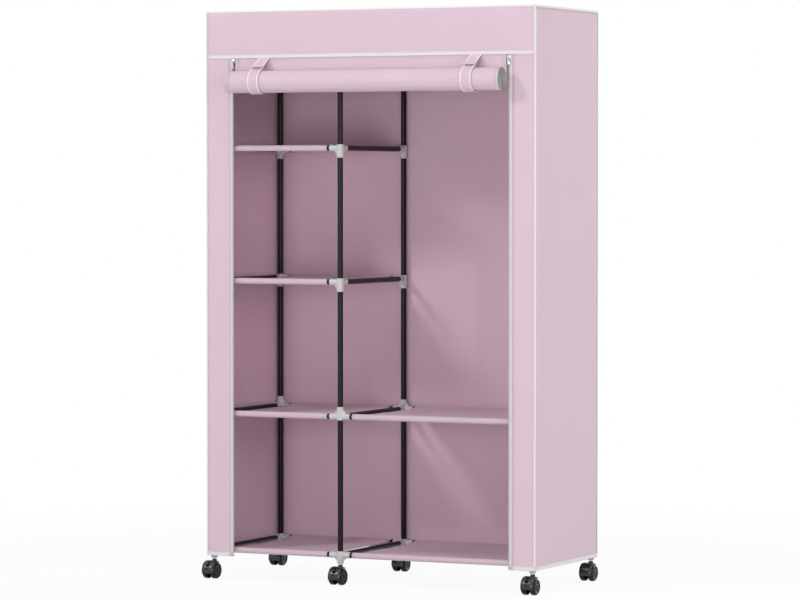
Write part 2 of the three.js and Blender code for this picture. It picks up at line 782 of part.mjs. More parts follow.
// The origin stays under the middle of the overall depth, with the rolled door counted in
const centre = new THREE.Box3().setFromObject(wardrobe).getCenter(new THREE.Vector3());
wardrobe.position.y = -centre.y;
const whole = new THREE.Group();
whole.add(wardrobe);

export default whole;
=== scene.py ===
"""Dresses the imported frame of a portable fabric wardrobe: round tubes in moulded connectors,
hung cloth with sewn bindings, a rolled door with straps, zips, and twin-wheel casters."""

import json
import math
import bmesh
import bpy
from mathutils import Matrix, Vector, noise


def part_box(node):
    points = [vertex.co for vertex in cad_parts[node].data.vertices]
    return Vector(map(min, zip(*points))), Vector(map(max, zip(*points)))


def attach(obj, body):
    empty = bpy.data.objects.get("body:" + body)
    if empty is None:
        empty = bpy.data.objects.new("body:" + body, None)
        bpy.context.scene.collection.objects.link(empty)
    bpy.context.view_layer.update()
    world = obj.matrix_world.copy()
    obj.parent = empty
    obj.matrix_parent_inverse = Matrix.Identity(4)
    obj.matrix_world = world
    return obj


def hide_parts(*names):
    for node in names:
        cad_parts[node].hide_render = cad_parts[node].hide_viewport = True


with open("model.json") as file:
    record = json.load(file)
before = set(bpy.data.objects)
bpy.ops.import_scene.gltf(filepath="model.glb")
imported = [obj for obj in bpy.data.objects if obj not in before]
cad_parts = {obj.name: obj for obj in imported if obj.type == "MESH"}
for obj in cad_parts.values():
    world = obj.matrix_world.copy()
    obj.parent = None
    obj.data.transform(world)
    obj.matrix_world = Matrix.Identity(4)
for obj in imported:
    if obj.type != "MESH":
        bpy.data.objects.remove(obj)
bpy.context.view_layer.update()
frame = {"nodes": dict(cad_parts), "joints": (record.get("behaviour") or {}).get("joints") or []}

bl_info = {
    "name": "Fabric wardrobe dressing",
    "version": (1, 0, 0),
    "blender": (4, 5, 0),
    "location": "View3D > Sidebar > Wardrobe",
    "description": "Builds the visible pieces of a portable fabric wardrobe round its frame",
    "category": "Object",
}

# Places read from the frame, in metres

JOINTS = {joint["name"]: joint for joint in frame["joints"]}
ROWS = ("front", "back")
COLUMNS = ("left", "middle", "right")
POST_NAMES = [f"{row}_{column}" for row in ROWS for column in COLUMNS]
X, Y, Z = Vector((1, 0, 0)), Vector((0, 1, 0)), Vector((0, 0, 1))


def middle_of(node):
    low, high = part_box(node)
    return (low + high) / 2


def post_axis(name):
    x, y, _ = JOINTS[f"caster_swivel_{name}"]["pos_m"]
    return Vector((x, y, 0))


POSTS = {name: post_axis(name) for name in POST_NAMES}
LEVELS = [middle_of(f"side_tube_left_{n}").z for n in range(1, 6)]
WRAP_LOW, WRAP_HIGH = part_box("cover_wrap")
TOP_LOW, TOP_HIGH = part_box("cover_top")
DOOR_LOW, DOOR_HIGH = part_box("rolled_door")
CHAIN_X = {side: middle_of(f"zip_slider_{side}").x for side in ("left", "right")}


def linear(code):
    """A hex screen colour as linear red, green and blue."""
    parts = [int(code[i:i + 2], 16) / 255 for i in (0, 2, 4)]
    return tuple(c / 12.92 if c <= 0.04045 else ((c + 0.055) / 1.055) ** 2.4 for c in parts)


# Settings that a user would change

def length(name, description, default):
    return bpy.props.FloatProperty(
        name=name, description=description, default=default, unit="LENGTH", precision=4)


def colour(name, description, code):
    return bpy.props.FloatVectorProperty(
        name=name, description=description, default=linear(code), subtype="COLOR",
        size=3, min=0, max=1)


class WardrobeFrameSettings(bpy.types.PropertyGroup):
    tube_radius: length("Tube radius", "Outer radius of the steel tube", 0.008)
    barrel_radius: length("Barrel radius", "Radius of a connector's barrel on the post", 0.0115)
    barrel_crown: length("Barrel crown", "Height of a barrel above the tube axes", 0.011)
    leg_reach: length("Leg reach", "Length of a connector's tapered leg", 0.0285)
    leg_end_radius: length("Leg end radius", "Radius at the end of the leg", 0.0095)
    foot_reach: length("Foot reach", "Length of the foot that takes a caster stem", 0.026)
    foot_radius: length("Foot radius", "Radius at the end of the foot", 0.0084)
    socket_radius: length("Socket radius", "Outer radius of a connector's socket", 0.0092)
    socket_reach: length("Socket reach", "Length of a socket from the post axis", 0.033)
    gusset_reach: length("Gusset reach", "How far a gusset runs under a socket", 0.022)
    gusset_thickness: length("Gusset thickness", "Thickness of a gusset", 0.007)
    rod_drop: length("Rod drop", "Drop of the hanging rod below the top tubes", 0.022)
    lacquer: colour("Lacquer", "Colour of the lacquered tube", "171618")
    moulding: colour("Moulding", "Colour of the white connectors", "cac9ca")


class WardrobeClothSettings(bpy.types.PropertyGroup):
    thickness: length("Cloth thickness", "Thickness of the cover cloth", 0.0009)
    shelf_setback: length("Shelf setback", "Distance from a post axis to the shelf cloth", 0.041)
    shelf_thickness: length("Shelf cloth thickness", "Thickness of the shelf cloth", 0.0006)
    sleeve_gap: length("Sleeve gap", "Slack of a sleeve round its tube", 0.0001)
    seam_setback: length("Seam setback", "Distance from a tube axis to the sleeve's seam", 0.021)
    shelf_sag: length("Shelf sag", "Sag of a shelf's cloth", 0.0086)
    top_sag: length("Top sag", "Sag of the top panel between the tubes", 0.003)
    swell: length("Swell", "Depth of the slow swells in hung cloth", 0.0016)
    pink: colour("Cloth colour", "Colour of the cover", "dfc6d4")
    # Painted shade: the tone of the cover's inner faces, a deeper pink that stands in for the
    # shade and inter-reflected light inside.
    inner_shade_tone: colour("Lining colour", "Colour of the cover's inner side", "e2c2d2")
    shelf_pink: colour("Shelf colour", "Colour of the shelf cloth", "d6becb")
    white: colour("Binding colour", "Colour of bindings and hem", "e8e3e6")
    edging: colour("Edging colour", "Colour of the piping and the straps' edges", "f4eff2")
    tape: colour("Zip tape colour", "Colour of the woven zip tapes", "ddd6da")
    coil: colour("Zip coil colour", "Colour of the zip coils", "c8c8c9")
    # The rolled zip halves are darker than the zip coil: partly the zip's own grey, partly painted
    # shade of the roll's end.
    half: colour("Rolled zip colour", "Colour of the zip halves in the roll's ends", "a4a6a4")


class WardrobeCasterSettings(bpy.types.PropertyGroup):
    hood: colour("Hood colour", "Colour of the caster hoods", "222223")
    wheel: colour("Wheel colour", "Colour of the caster wheels", "1d1d1e")
    steel: colour("Steel colour", "Colour of plated steel", "d2d3d6")


class WardrobeStageSettings(bpy.types.PropertyGroup):
    camera_place: bpy.props.FloatVectorProperty(
        name="Camera place", description="Where the camera stands", subtype="TRANSLATION",
        default=(4.8818, -9.9863, 1.1839), size=3)
    camera_turn: bpy.props.FloatProperty(
        name="Camera turn", description="Turn of the camera about the upright", subtype="ANGLE",
        default=math.radians(25.998))
    camera_tilt: bpy.props.FloatProperty(
        name="Camera tilt", description="How far the camera looks down", subtype="ANGLE",
        default=math.radians(1.809))
    camera_lens: bpy.props.FloatProperty(
        name="Lens", description="Focal length in millimetres", default=168.89)
    ambient: bpy.props.FloatProperty(
        name="Ambient", description="Strength of the light from all round", default=0.25)
    key: bpy.props.FloatProperty(
        name="Key light", description="Strength of the light from the front left",
        default=0.25)
    fill: bpy.props.FloatProperty(
        name="Fill light", description="Strength of the soft light from the right", default=0.178)
    top: bpy.props.FloatProperty(
        name="Top light", description="Strength of the soft light from above", default=0.24)
    front: bpy.props.FloatProperty(
        name="Front light", description="Strength of the low soft light in front", default=0.21)
    back: bpy.props.FloatProperty(
        name="Back light", description="Strength of the soft light from behind", default=0.55)
    floor: colour("Floor colour", "Colour of the pale floor", "f7f7f7")


def settings(group):
    return getattr(bpy.context.scene, f"wardrobe_{group}")


# Shader values that take part in sums

class Value:
    """One output of a shader node; each operation on it adds the node that it needs."""

    def __init__(self, shade, socket):
        self.shade = shade
        self.socket = socket

    def math(self, operation, *values):
        sockets = dict(enumerate(values))
        return self.shade.node("ShaderNodeMath", {"operation": operation}, sockets)

    def sine(self):
        return self.math("SINE", self)

    def fract(self):
        return self.math("FRACT", self)

    def __add__(self, other):
        return self.math("ADD", self, other)

    def __sub__(self, other):
        return self.math("SUBTRACT", self, other)

    def __rsub__(self, other):
        return self.math("SUBTRACT", other, self)

    def __mul__(self, other):
        return self.math("MULTIPLY", self, other)

    def __truediv__(self, other):
        return self.math("DIVIDE", self, other)

    def __rtruediv__(self, other):
        return self.math("DIVIDE", other, self)

    __radd__ = __add__
    __rmul__ = __mul__


SOCKETS = {"metallic": "Metallic", "sheen": "Sheen Weight",
           "sheen_roughness": "Sheen Roughness", "specular": "Specular IOR Level"}


class Shade:
    """The node tree of one material or of the world."""

    def __init__(self, owner):
        self.owner = owner
        owner.use_nodes = True
        self.tree = owner.node_tree
        self.tree.nodes.clear()

    def node(self, kind, config=None, sockets=None, out=0):
        """Adds a node: its type, its settings, then its sockets' values or links. It gives
        the output that out names, or the node itself where out is None."""
        made = self.tree.nodes.new(kind)
        for key, setting in (config or {}).items():
            setattr(made, key, setting)
        for key, value in (sockets or {}).items():
            if isinstance(value, Value):
                self.tree.links.new(value.socket, made.inputs[key])
            else:
                made.inputs[key].default_value = value
        return made if out is None else Value(self, made.outputs[out])

    def mix(self, factor, first, second):
        """Blends two colours; a plain colour is given as red, green and blue."""
        first, second = [c if isinstance(c, Value) else (*c, 1) for c in (first, second)]
        return self.node(
            "ShaderNodeMix", {"data_type": "RGBA"}, {0: factor, 6: first, 7: second}, out=2)

    def place(self):
        return self.node("ShaderNodeTexCoord", out=3)

    def noise(self, vector, scale, detail=2, roughness=0.5):
        return self.node("ShaderNodeTexNoise", None, {
            "Vector": vector, "Scale": scale, "Detail": detail, "Roughness": roughness})

    def tones(self, factor, tone, darkest, lightest):
        """A tone that varies with a factor, between two shares of itself."""
        return self.mix(factor, scaled(tone, darkest), scaled(tone, lightest))

    def bump(self, height, strength, distance):
        return self.node("ShaderNodeBump", None, {
            "Height": height, "Strength": strength, "Distance": distance})

    def surface(self, shader):
        kind = "World" if isinstance(self.owner, bpy.types.World) else "Material"
        self.node(f"ShaderNodeOutput{kind}", None, {"Surface": shader}, out=None)
        return self.owner

    def cloth_map(self):
        """The flat map of a piece of cloth: across and along, in metres."""
        flat = self.node("ShaderNodeUVMap", {"uv_map": "cloth"})
        return [self.node("ShaderNodeSeparateXYZ", None, {0: flat}, out=i) for i in (0, 1)]

    def principled(self, paint, roughness, normal, **sockets):
        named = {SOCKETS[key]: value for key, value in sockets.items()}
        return self.surface(self.node("ShaderNodeBsdfPrincipled", None, {
            "Base Color": paint, "Roughness": roughness, "Normal": normal, **named}))


def material(name):
    return Shade(bpy.data.materials.new(name))


def scaled(tone, share):
    return tuple(min(1, c * share) for c in tone)


DOT_WAVES = 2600
DOT_SHARE = 0.12
RIB_SHARE = 0.4
STITCH_HALF, STITCH_SHARE, STITCH_HEIGHT = 0.0004, 0.7, 2


def cloth_material(name, tone, inner_shade_tone=None):
    """Spunbonded cloth: a pressed grid of dots, short fibres and slow changes of tone.
    A painted shade tone shows on the faces that look towards the middle of the wardrobe, a deeper
    pink standing in for the shade and inter-reflected light inside."""
    shade = material(name)
    across, along = shade.cloth_map()
    dots = (across * DOT_WAVES).sine() * (along * DOT_WAVES).sine()
    fibres = shade.noise(shade.place(), scale=700, detail=3, roughness=0.6)
    slow = shade.noise(shade.place(), scale=5)
    paint = shade.tones(fibres * 0.5 + slow * 0.5, tone, darkest=0.93, lightest=1.05)
    # Painted shade: faces turned towards the middle take the deeper inner tone.
    if inner_shade_tone:
        normal = shade.node("ShaderNodeTexCoord", out="Normal")
        outward = shade.node("ShaderNodeVectorMath", {"operation": "DOT_PRODUCT"},
                             {0: shade.place(), 1: normal}, out="Value")
        inside = outward.math("LESS_THAN", outward, 0.0)
        paint = shade.mix(inside, paint,
                          shade.tones(slow, inner_shade_tone, darkest=0.95, lightest=1.03))
    pressed = shade.bump(dots * DOT_SHARE + fibres, strength=0.25, distance=0.0002)
    return shade.principled(paint, 0.86, pressed, sheen=0.15, sheen_roughness=0.5,
                            specular=0.25)


def ribbon_material(name, tone, rib, stitches=None):
    """Woven ribbon with fine cross ribs and, where asked, a line of stitches along it."""
    shade = material(name)
    across, along = shade.cloth_map()
    grain = shade.noise(shade.place(), scale=900)
    height = (along * (math.tau / rib)).sine() * RIB_SHARE + grain
    paint = shade.tones(grain, tone, darkest=0.94, lightest=1.04)
    if stitches:
        offset, pitch = stitches
        near = across.math("COMPARE", across, offset, STITCH_HALF)
        run = (along / pitch).fract()
        thread = near * run.math("LESS_THAN", run, STITCH_SHARE)
        paint = shade.mix(thread, paint, scaled(tone, 0.84))
        height = height + thread * STITCH_HEIGHT
    woven = shade.bump(height, strength=0.3, distance=0.00025)
    return shade.principled(paint, 0.72, woven, specular=0.3)


GLOSS_RANGE = 0.1


def moulded_material(name, tone, roughness, grain=0.00006, scale=420, specular=0.5):
    """Moulded plastic: a fine spark-eroded grain and slightly uneven gloss."""
    shade = material(name)
    fine = shade.noise(shade.place(), scale=scale, detail=3, roughness=0.6)
    slow = shade.noise(shade.place(), scale=18)
    paint = shade.tones(slow, tone, darkest=0.93, lightest=1.05)
    return shade.principled(paint, (fine - 0.5) * GLOSS_RANGE + roughness,
                            shade.bump(fine, strength=0.4, distance=grain), specular=specular)


def lacquer_material(name, tone):
    """Black lacquer on drawn tube: glossy, with faint lengthwise unevenness."""
    shade = material(name)
    slow = shade.noise(shade.place(), scale=35)
    fine = shade.noise(shade.place(), scale=600)
    paint = shade.tones(slow, tone, darkest=1, lightest=1.5)
    return shade.principled(paint, slow * 0.06 + 0.16,
                            shade.bump(fine, strength=0.15, distance=0.00004), specular=0.14)


def plated_material(name, tone):
    """Plated metal with faint wear."""
    shade = material(name)
    wear = shade.noise(shade.place(), scale=260, detail=3, roughness=0.6)
    paint = shade.tones(wear, tone, darkest=0.85, lightest=1)
    return shade.principled(paint, wear * 0.16 + 0.12,
                            shade.bump(wear, strength=0.1, distance=0.00004), metallic=1.0)


MATERIALS = {}


def make_materials():
    """Makes every material; stitches are given as their place across and their pitch."""
    tubes, cloth, casters = settings("frame"), settings("cloth"), settings("caster")
    MATERIALS.update({
        "lacquer": lacquer_material("black_lacquer", tubes.lacquer),
        "moulding": moulded_material("white_moulding", tubes.moulding, roughness=0.38),
        "cloth": cloth_material("pink_cloth", cloth.pink),
        # The cover's cloth with painted shade on its inner faces.
        "shaded_inside": cloth_material("pink_cover_cloth_painted_shade", cloth.pink, cloth.inner_shade_tone),
        "shelf": cloth_material("pink_shelf_cloth", cloth.shelf_pink),
        "binding": ribbon_material("white_binding", cloth.white, rib=0.0009,
                                   stitches=(0.0025, 0.0032)),
        "piping": ribbon_material("white_piping", cloth.edging, rib=0.0011),
        "tape": ribbon_material("woven_tape", cloth.tape, rib=0.0012,
                                stitches=(0.0075, 0.0028)),
        "coil": moulded_material("zip_coil", cloth.coil, roughness=0.35, grain=0.00003),
        # Darker than the coil: partly the zip's own grey, partly painted shade of the roll's end.
        "half": moulded_material("rolled_zip_half_painted_shade", cloth.half, roughness=0.6, grain=0.00003),
        "plated": plated_material("plated_steel", casters.steel),
        "hood": moulded_material("black_hood", casters.hood, roughness=0.28, grain=0.00004,
                                 scale=500),
        "wheel": moulded_material("wheel_plastic", casters.wheel, roughness=0.46,
                                  specular=0.16),
    })


# Shapes

MERGE_WITHIN = 1e-7


def lathe(profile, steps=48, turn=math.tau, closed=False):
    """Spins a profile of (radius, height) points about Z."""
    bm = bmesh.new()
    verts = [bm.verts.new((radius, 0, height)) for radius, height in profile]
    edges = [bm.edges.new(pair) for pair in zip(verts, verts[1:])]
    if closed:
        edges.append(bm.edges.new((verts[-1], verts[0])))
    bmesh.ops.spin(bm, geom=verts + edges, cent=(0, 0, 0), axis=(0, 0, 1), angle=turn,
                   steps=steps, use_merge=turn == math.tau, use_duplicate=False)
    bmesh.ops.remove_doubles(bm, verts=bm.verts, dist=MERGE_WITHIN)
    if turn != math.tau:
        bmesh.ops.holes_fill(bm, edges=[e for e in bm.edges if e.is_boundary], sides=0)
    bmesh.ops.recalc_face_normals(bm, faces=bm.faces)
    return bm


def prism(outline, depth, bevel=0.0, segments=2):
    """Raises an outline in X and Y by a depth that is centred on the plane."""
    bm = bmesh.new()
    face = bm.faces.new([bm.verts.new((x, y, -depth / 2)) for x, y in outline])
    made = bmesh.ops.extrude_face_region(bm, geom=[face])["geom"]
    top = [g for g in made if isinstance(g, bmesh.types.BMVert)]
    bmesh.ops.translate(bm, verts=top, vec=(0, 0, depth))
    bmesh.ops.recalc_face_normals(bm, faces=bm.faces)
    if bevel:
        bmesh.ops.bevel(bm, geom=bm.edges[:], offset=bevel, offset_type="OFFSET",
                        segments=segments, profile=0.5, affect="EDGES", material=-1,
                        clamp_overlap=True)
    return bm


def slab(low, high, bevel=0.0, segments=2):
    """A box between two corners with rounded edges."""
    low, high = Vector(low), Vector(high)
    size = high - low
    bm = prism([(-size.x / 2, -size.y / 2), (size.x / 2, -size.y / 2),
                (size.x / 2, size.y / 2), (-size.x / 2, size.y / 2)], size.z, bevel, segments)
    bmesh.ops.translate(bm, verts=bm.verts, vec=(low + high) / 2)
    return bm


def rod(radius, start, end, sides=40, edge=0.0):
    """A round bar between two points, with its ends eased."""
    start, end = Vector(start), Vector(end)
    span = (end - start).length
    profile = [(0, 0), (radius - edge, 0), (radius - edge, span), (0, span)]
    if edge:
        profile[2:2] = [(radius, edge), (radius, span - edge)]
    bm = lathe(profile, sides)
    bmesh.ops.transform(bm, matrix=aimed(end - start, start), verts=bm.verts)
    return bm


def aimed(direction, place=(0, 0, 0)):
    """The matrix that points Z along a direction and moves the origin to a place."""
    turn = Vector(direction).to_track_quat("Z", "Y").to_matrix().to_4x4()
    return Matrix.Translation(Vector(place)) @ turn


def merge(target, source, matrix=Matrix()):
    """Adds one shape to another."""
    mesh = bpy.data.meshes.new("part")
    source.to_mesh(mesh)
    source.free()
    mesh.transform(matrix)
    target.from_mesh(mesh)
    bpy.data.meshes.remove(mesh)
    return target


def sweep(section, frames, closed=False, caps=False):
    """Draws a section of (x, y) points along a row of frames, with its cloth map."""
    bm = bmesh.new()
    across = bm.verts.layers.float.new("across")
    along = bm.verts.layers.float.new("along")
    flat = bm.loops.layers.uv.new("cloth")
    ring = []
    run = 0.0
    for i, point in enumerate(section):
        run += math.dist(section[i - 1], point) if i else 0.0
        vert = bm.verts.new(frames[0] @ Vector((*point, 0)))
        vert[across] = run
        ring.append(vert)
    edges = [bm.edges.new(pair) for pair in zip(ring, ring[1:])]
    if closed:
        edges.append(bm.edges.new((ring[-1], ring[0])))
    if caps:
        bm.faces.new(ring)
    travelled = 0.0
    for before, after in zip(frames, frames[1:]):
        made = bmesh.ops.extrude_edge_only(bm, edges=edges)["geom"]
        verts = [g for g in made if isinstance(g, bmesh.types.BMVert)]
        fresh = set(verts)
        edges = [g for g in made if isinstance(g, bmesh.types.BMEdge)
                 and g.verts[0] in fresh and g.verts[1] in fresh]
        bmesh.ops.transform(bm, matrix=after @ before.inverted(), verts=verts)
        travelled += (after.translation - before.translation).length
        for vert in verts:
            vert[along] = travelled
    if caps:
        bmesh.ops.holes_fill(bm, edges=edges, sides=0)
    for face in bm.faces:
        for loop in face.loops:
            loop[flat].uv = (loop.vert[across], loop.vert[along])
    bmesh.ops.recalc_face_normals(bm, faces=bm.faces)
    return bm


def upright_frames(points):
    """Frames along a path in the plane of Y and Z, with their X along the wardrobe's X."""
    frames = []
    for i, point in enumerate(points):
        before, after = points[max(i - 1, 0)], points[min(i + 1, len(points) - 1)]
        ahead = Vector((0, after[0] - before[0], after[1] - before[1])).normalized()
        side = ahead.cross(X)
        turn = Matrix((X, side, ahead)).transposed().to_4x4()
        frames.append(Matrix.Translation((0, *point)) @ turn)
    return frames


def level_frames(points, closed=False):
    """Frames along a level path; section x points to its right, and y points up."""
    frames = []
    count = len(points)
    for i, point in enumerate(points):
        here = Vector(point)
        before = Vector(points[i - 1]) if i or closed else None
        after = Vector(points[(i + 1) % count]) if i < count - 1 or closed else None
        arriving = (here - before).normalized() if before else (after - here).normalized()
        leaving = (after - here).normalized() if after else arriving
        ahead = (arriving + leaving).normalized()
        right = ahead.cross(Z) / max(0.2, ahead.dot(leaving))
        turn = Matrix((right, Z, ahead)).transposed().to_4x4()
        frames.append(Matrix.Translation(here) @ turn)
    return frames


def ring_section(width, height, sides=12):
    """A rounded section of that width and height."""
    angles = [math.tau * i / sides for i in range(sides)]
    return [(width / 2 * math.cos(angle), height / 2 * math.sin(angle)) for angle in angles]


def spaced(start, end, pitch):
    """Even steps from start to end, none longer than the pitch."""
    count = max(1, math.ceil(abs(end - start) / pitch))
    return [start + (end - start) * i / count for i in range(count + 1)]


def path_length(points):
    return sum(math.dist(a, b) for a, b in zip(points, points[1:]))


def baked_mesh(bm, name, steps):
    """The mesh of a shape after the modifiers in steps, given as (kind, settings)."""
    mesh = bpy.data.meshes.new(name)
    bm.to_mesh(mesh)
    bm.free()
    holder = bpy.data.objects.new(name, mesh)
    bpy.context.scene.collection.objects.link(holder)
    for kind, values in steps:
        modifier = holder.modifiers.new(kind, kind)
        for key, value in values.items():
            setattr(modifier, key, value)
    graph = bpy.context.evaluated_depsgraph_get()
    graph.update()
    result = bpy.data.meshes.new_from_object(holder.evaluated_get(graph))
    bpy.data.objects.remove(holder)
    bpy.data.meshes.remove(mesh)
    return result


def eased_mesh(bm, name, passes):
    """The mesh of a moulded shape, made one body with its inner corners eased."""
    return baked_mesh(bm, name, [
        ("REMESH", {"mode": "VOXEL", "voxel_size": 0.00095, "use_smooth_shade": True}),
        ("SMOOTH", {"factor": 0.5, "iterations": passes}),
        ("DECIMATE", {"ratio": 0.45}),
    ])


def joined_mesh(bm, tool, name, operation="DIFFERENCE"):
    """The mesh of one shape with another cut out of it or joined to it."""
    mesh = bpy.data.meshes.new("tool")
    tool.to_mesh(mesh)
    tool.free()
    cutter = bpy.data.objects.new("tool", mesh)
    bpy.context.scene.collection.objects.link(cutter)
    result = baked_mesh(bm, name, [("BOOLEAN", {
        "operation": operation, "object": cutter, "solver": "EXACT", "use_self": True})])
    bpy.data.objects.remove(cutter)
    bpy.data.meshes.remove(mesh)
    return result


def piece(name, shape, finish, body="wardrobe", stands_for=(), angle=32, solid=0.0,
          offset=0.0):
    """Makes a finished piece that rides on a body and stands for nodes of the frame."""
    if isinstance(shape, bmesh.types.BMesh):
        mesh = bpy.data.meshes.new(name)
        shape.to_mesh(mesh)
        shape.free()
    else:
        mesh = shape
    mesh.name = name
    mesh.materials.clear()
    mesh.materials.append(MATERIALS[finish])
    mesh.shade_smooth()
    mesh.set_sharp_from_angle(angle=math.radians(angle))
    made = bpy.data.objects.new(name, mesh)
    bpy.context.scene.collection.objects.link(made)
    if solid:
        skin = made.modifiers.new("cloth_thickness", "SOLIDIFY")
        skin.thickness = solid
        skin.offset = offset
    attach(made, body)
    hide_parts(*stands_for)
    return made


# Tubes and connectors

TUBE_EDGE = 0.0006
LATHE_STEPS = 48
BARREL_SHARE = 0.8
END_EASE = 0.0014
END_STRAIGHT = 0.006
LIP, LIP_START, LIP_FULL, LIP_END = 0.0007, 0.006, 0.005, 0.0008
ROOT_INSET = 0.003
CLIP_RADIUS, CLIP_HALF = 0.011, 0.013
HANGER_HALF = 0.0085
ROD_SOCKET_RADIUS, ROD_SOCKET_BACK, ROD_SOCKET_FRONT = 0.0098, 0.0115, 0.033
TEE_EDGE = 0.001
SOFT_ANGLE = 60

# Quarter turns that point a connector's sockets along the tubes at its post
TURNS = {"front_left": 0, "front_right": 1, "back_right": 2, "back_left": -1,
         "front_middle": 0, "back_middle": 2}
CORNER_TURNS = {"front_middle": 1, "back_middle": 2}
RIGHT_BAY_LEVELS = (0, 1, 4)


def build_tubes():
    """Posts, side tubes, top tubes and the hanging rod."""
    radius = settings("frame").tube_radius
    for name, place in POSTS.items():
        low, high = place + Z * LEVELS[0], place + Z * (LEVELS[4] + radius)
        piece(f"post_{name}", rod(radius, low, high), "lacquer")
    straight = [n for n in frame["nodes"] if n.startswith(("side_tube", "top_tube", "hanging"))]
    for node in sorted(straight):
        low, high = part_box(node)
        if node.startswith("side_tube"):
            column = node.split("_")[2]
            level = LEVELS[int(node.split("_")[3]) - 1]
            start = Vector((POSTS[f"front_{column}"].x, low.y, level))
            end = Vector((start.x, high.y, level))
        else:
            centre = (low + high) / 2
            start = Vector((low.x, centre.y, centre.z))
            end = Vector((high.x, centre.y, centre.z))
        piece(f"round_{node}", rod(radius, start, end, edge=TUBE_EDGE), "lacquer",
              stands_for=[node])


def connector_shape(sockets, leg_sign, foot):
    """One moulded connector about the crossing of its tube axes."""
    sizes = settings("frame")
    crown, radius = sizes.barrel_crown, sizes.barrel_radius
    reach = sizes.foot_reach if foot else sizes.leg_reach
    end_radius = sizes.foot_radius if foot else sizes.leg_end_radius
    neck = end_radius + END_EASE
    bm = lathe([
        (0, crown), (radius - END_EASE, crown), (radius, crown - END_EASE),
        (radius, -crown * BARREL_SHARE), (neck, -reach + END_STRAIGHT),
        (neck, -reach + END_EASE / 2), (end_radius, -reach), (0, -reach),
    ], LATHE_STEPS)
    outer, length = sizes.socket_radius, sizes.socket_reach
    for direction in sockets:
        arm = lathe([
            (0, 0), (outer, 0), (outer, length - LIP_START), (outer + LIP, length - LIP_FULL),
            (outer + LIP, length - LIP_END), (outer, length), (0, length),
        ], LATHE_STEPS)
        merge(bm, arm, aimed(direction))
        root, tip = ROOT_INSET - outer, END_STRAIGHT - reach
        web = prism([(0, 0), (sizes.gusset_reach, 0), (sizes.gusset_reach, root),
                     (sizes.tube_radius, tip), (0, tip)], sizes.gusset_thickness)
        along = Vector(direction)
        merge(bm, web, Matrix((along, Z, along.cross(Z))).transposed().to_4x4())
    if leg_sign > 0:
        bmesh.ops.scale(bm, vec=(1, 1, -1), verts=bm.verts)
        bmesh.ops.reverse_faces(bm, faces=bm.faces)
    return bm


def build_connectors():
    """The white connectors, moulded as one body each, with eased inner corners."""
    known = {}

    def moulded(kind, leg):
        if (kind, leg) not in known:
            sockets = {"corner": (X, Y), "tee": (X, -X, Y)}[kind]
            shape = connector_shape(sockets, 1 if leg == "up" else -1, leg == "foot")
            known[kind, leg] = eased_mesh(shape, f"connector_{kind}_{leg}", passes=5)
        return known[kind, leg]

    for name, place in POSTS.items():
        column = name.split("_")[1]
        bm = bmesh.new()
        for number, level in enumerate(LEVELS):
            if column == "right" and number not in RIGHT_BAY_LEVELS:
                continue
            leg = "foot" if number == 0 else "up" if number == 1 else "down"
            tee = column == "middle" and number in RIGHT_BAY_LEVELS
            turn = TURNS[name]
            if column == "middle" and not tee:
                turn = CORNER_TURNS[name]
            mesh = moulded("tee" if tee else "corner", leg).copy()
            mesh.transform(Matrix.Translation(place + Z * level) @ Matrix.Rotation(
                turn * math.pi / 2, 4, "Z"))
            bm.from_mesh(mesh)
            bpy.data.meshes.remove(mesh)
        piece(f"connectors_{name}", bm, "moulding", stands_for=[f"upright_{name}"],
              angle=SOFT_ANGLE)
    for side, direction in (("middle", X), ("right", -X)):
        build_rod_tee(side, direction)


def build_rod_tee(side, direction):
    """The tee that hangs one end of the rod from a top side tube."""
    centre = Vector((POSTS[f"front_{side}"].x, middle_of("hanging_rod").y, LEVELS[4]))
    low = centre - Z * settings("frame").rod_drop
    corner = Vector((HANGER_HALF, HANGER_HALF, 0))
    bm = bmesh.new()
    merge(bm, rod(CLIP_RADIUS, centre - Y * CLIP_HALF, centre + Y * CLIP_HALF, edge=TEE_EDGE))
    merge(bm, rod(ROD_SOCKET_RADIUS, low - direction * ROD_SOCKET_BACK,
                  low + direction * ROD_SOCKET_FRONT, edge=TEE_EDGE))
    merge(bm, slab(low - corner, centre + corner, TEE_EDGE))
    piece(f"rod_tee_{side}", eased_mesh(bm, f"rod_tee_{side}", passes=4), "moulding",
          angle=SOFT_ANGLE)


# Cloth

SWELL_MARGIN_ACROSS, SWELL_MARGIN_UP = 0.06, 0.08
SLOW_WAVES, SMALL_WAVES, SMALL_SHARE = (3.1, 1.7), (9, 5), 0.3
FOLD_WIDTH = 0.006
GRID_PITCH = 0.012

# Pressed folds: the direction they are counted in, their place as a share, and their depth
SIDE_FOLDS = [("v", 0.617, 0.0007), ("v", 0.256, -0.0006), ("u", 0.5, 0.0004)]
BACK_FOLDS = [("v", 0.617, 0.0006), ("v", 0.256, -0.0006), ("u", 0.33, 0.0004),
              ("u", 0.67, -0.0004)]


def smooth_step(t):
    """Runs from 0 to 1 with level ends."""
    t = min(max(t, 0.0), 1.0)
    return t * t * (3 - 2 * t)


def swell(u, v, width, height, seed, folds=()):
    """How far hung cloth stands off its plane: slow swells and pressed folds."""
    edge = (smooth_step(min(u, 1 - u) * width / SWELL_MARGIN_ACROSS)
            * smooth_step(min(v, 1 - v) * height / SWELL_MARGIN_UP))
    slow = noise.noise(Vector((u * width * SLOW_WAVES[0] + seed, v * height * SLOW_WAVES[1],
                               seed * 0.37)))
    small = noise.noise(Vector((u * width * SMALL_WAVES[0] - seed, v * height * SMALL_WAVES[1],
                                seed)))
    amount = settings("cloth").swell * (slow + small * SMALL_SHARE) * edge
    for axis, share, depth in folds:
        away = abs((u if axis == "u" else v) - share) * (width if axis == "u" else height)
        amount += depth * math.exp(-away / FOLD_WIDTH) * edge
    return amount


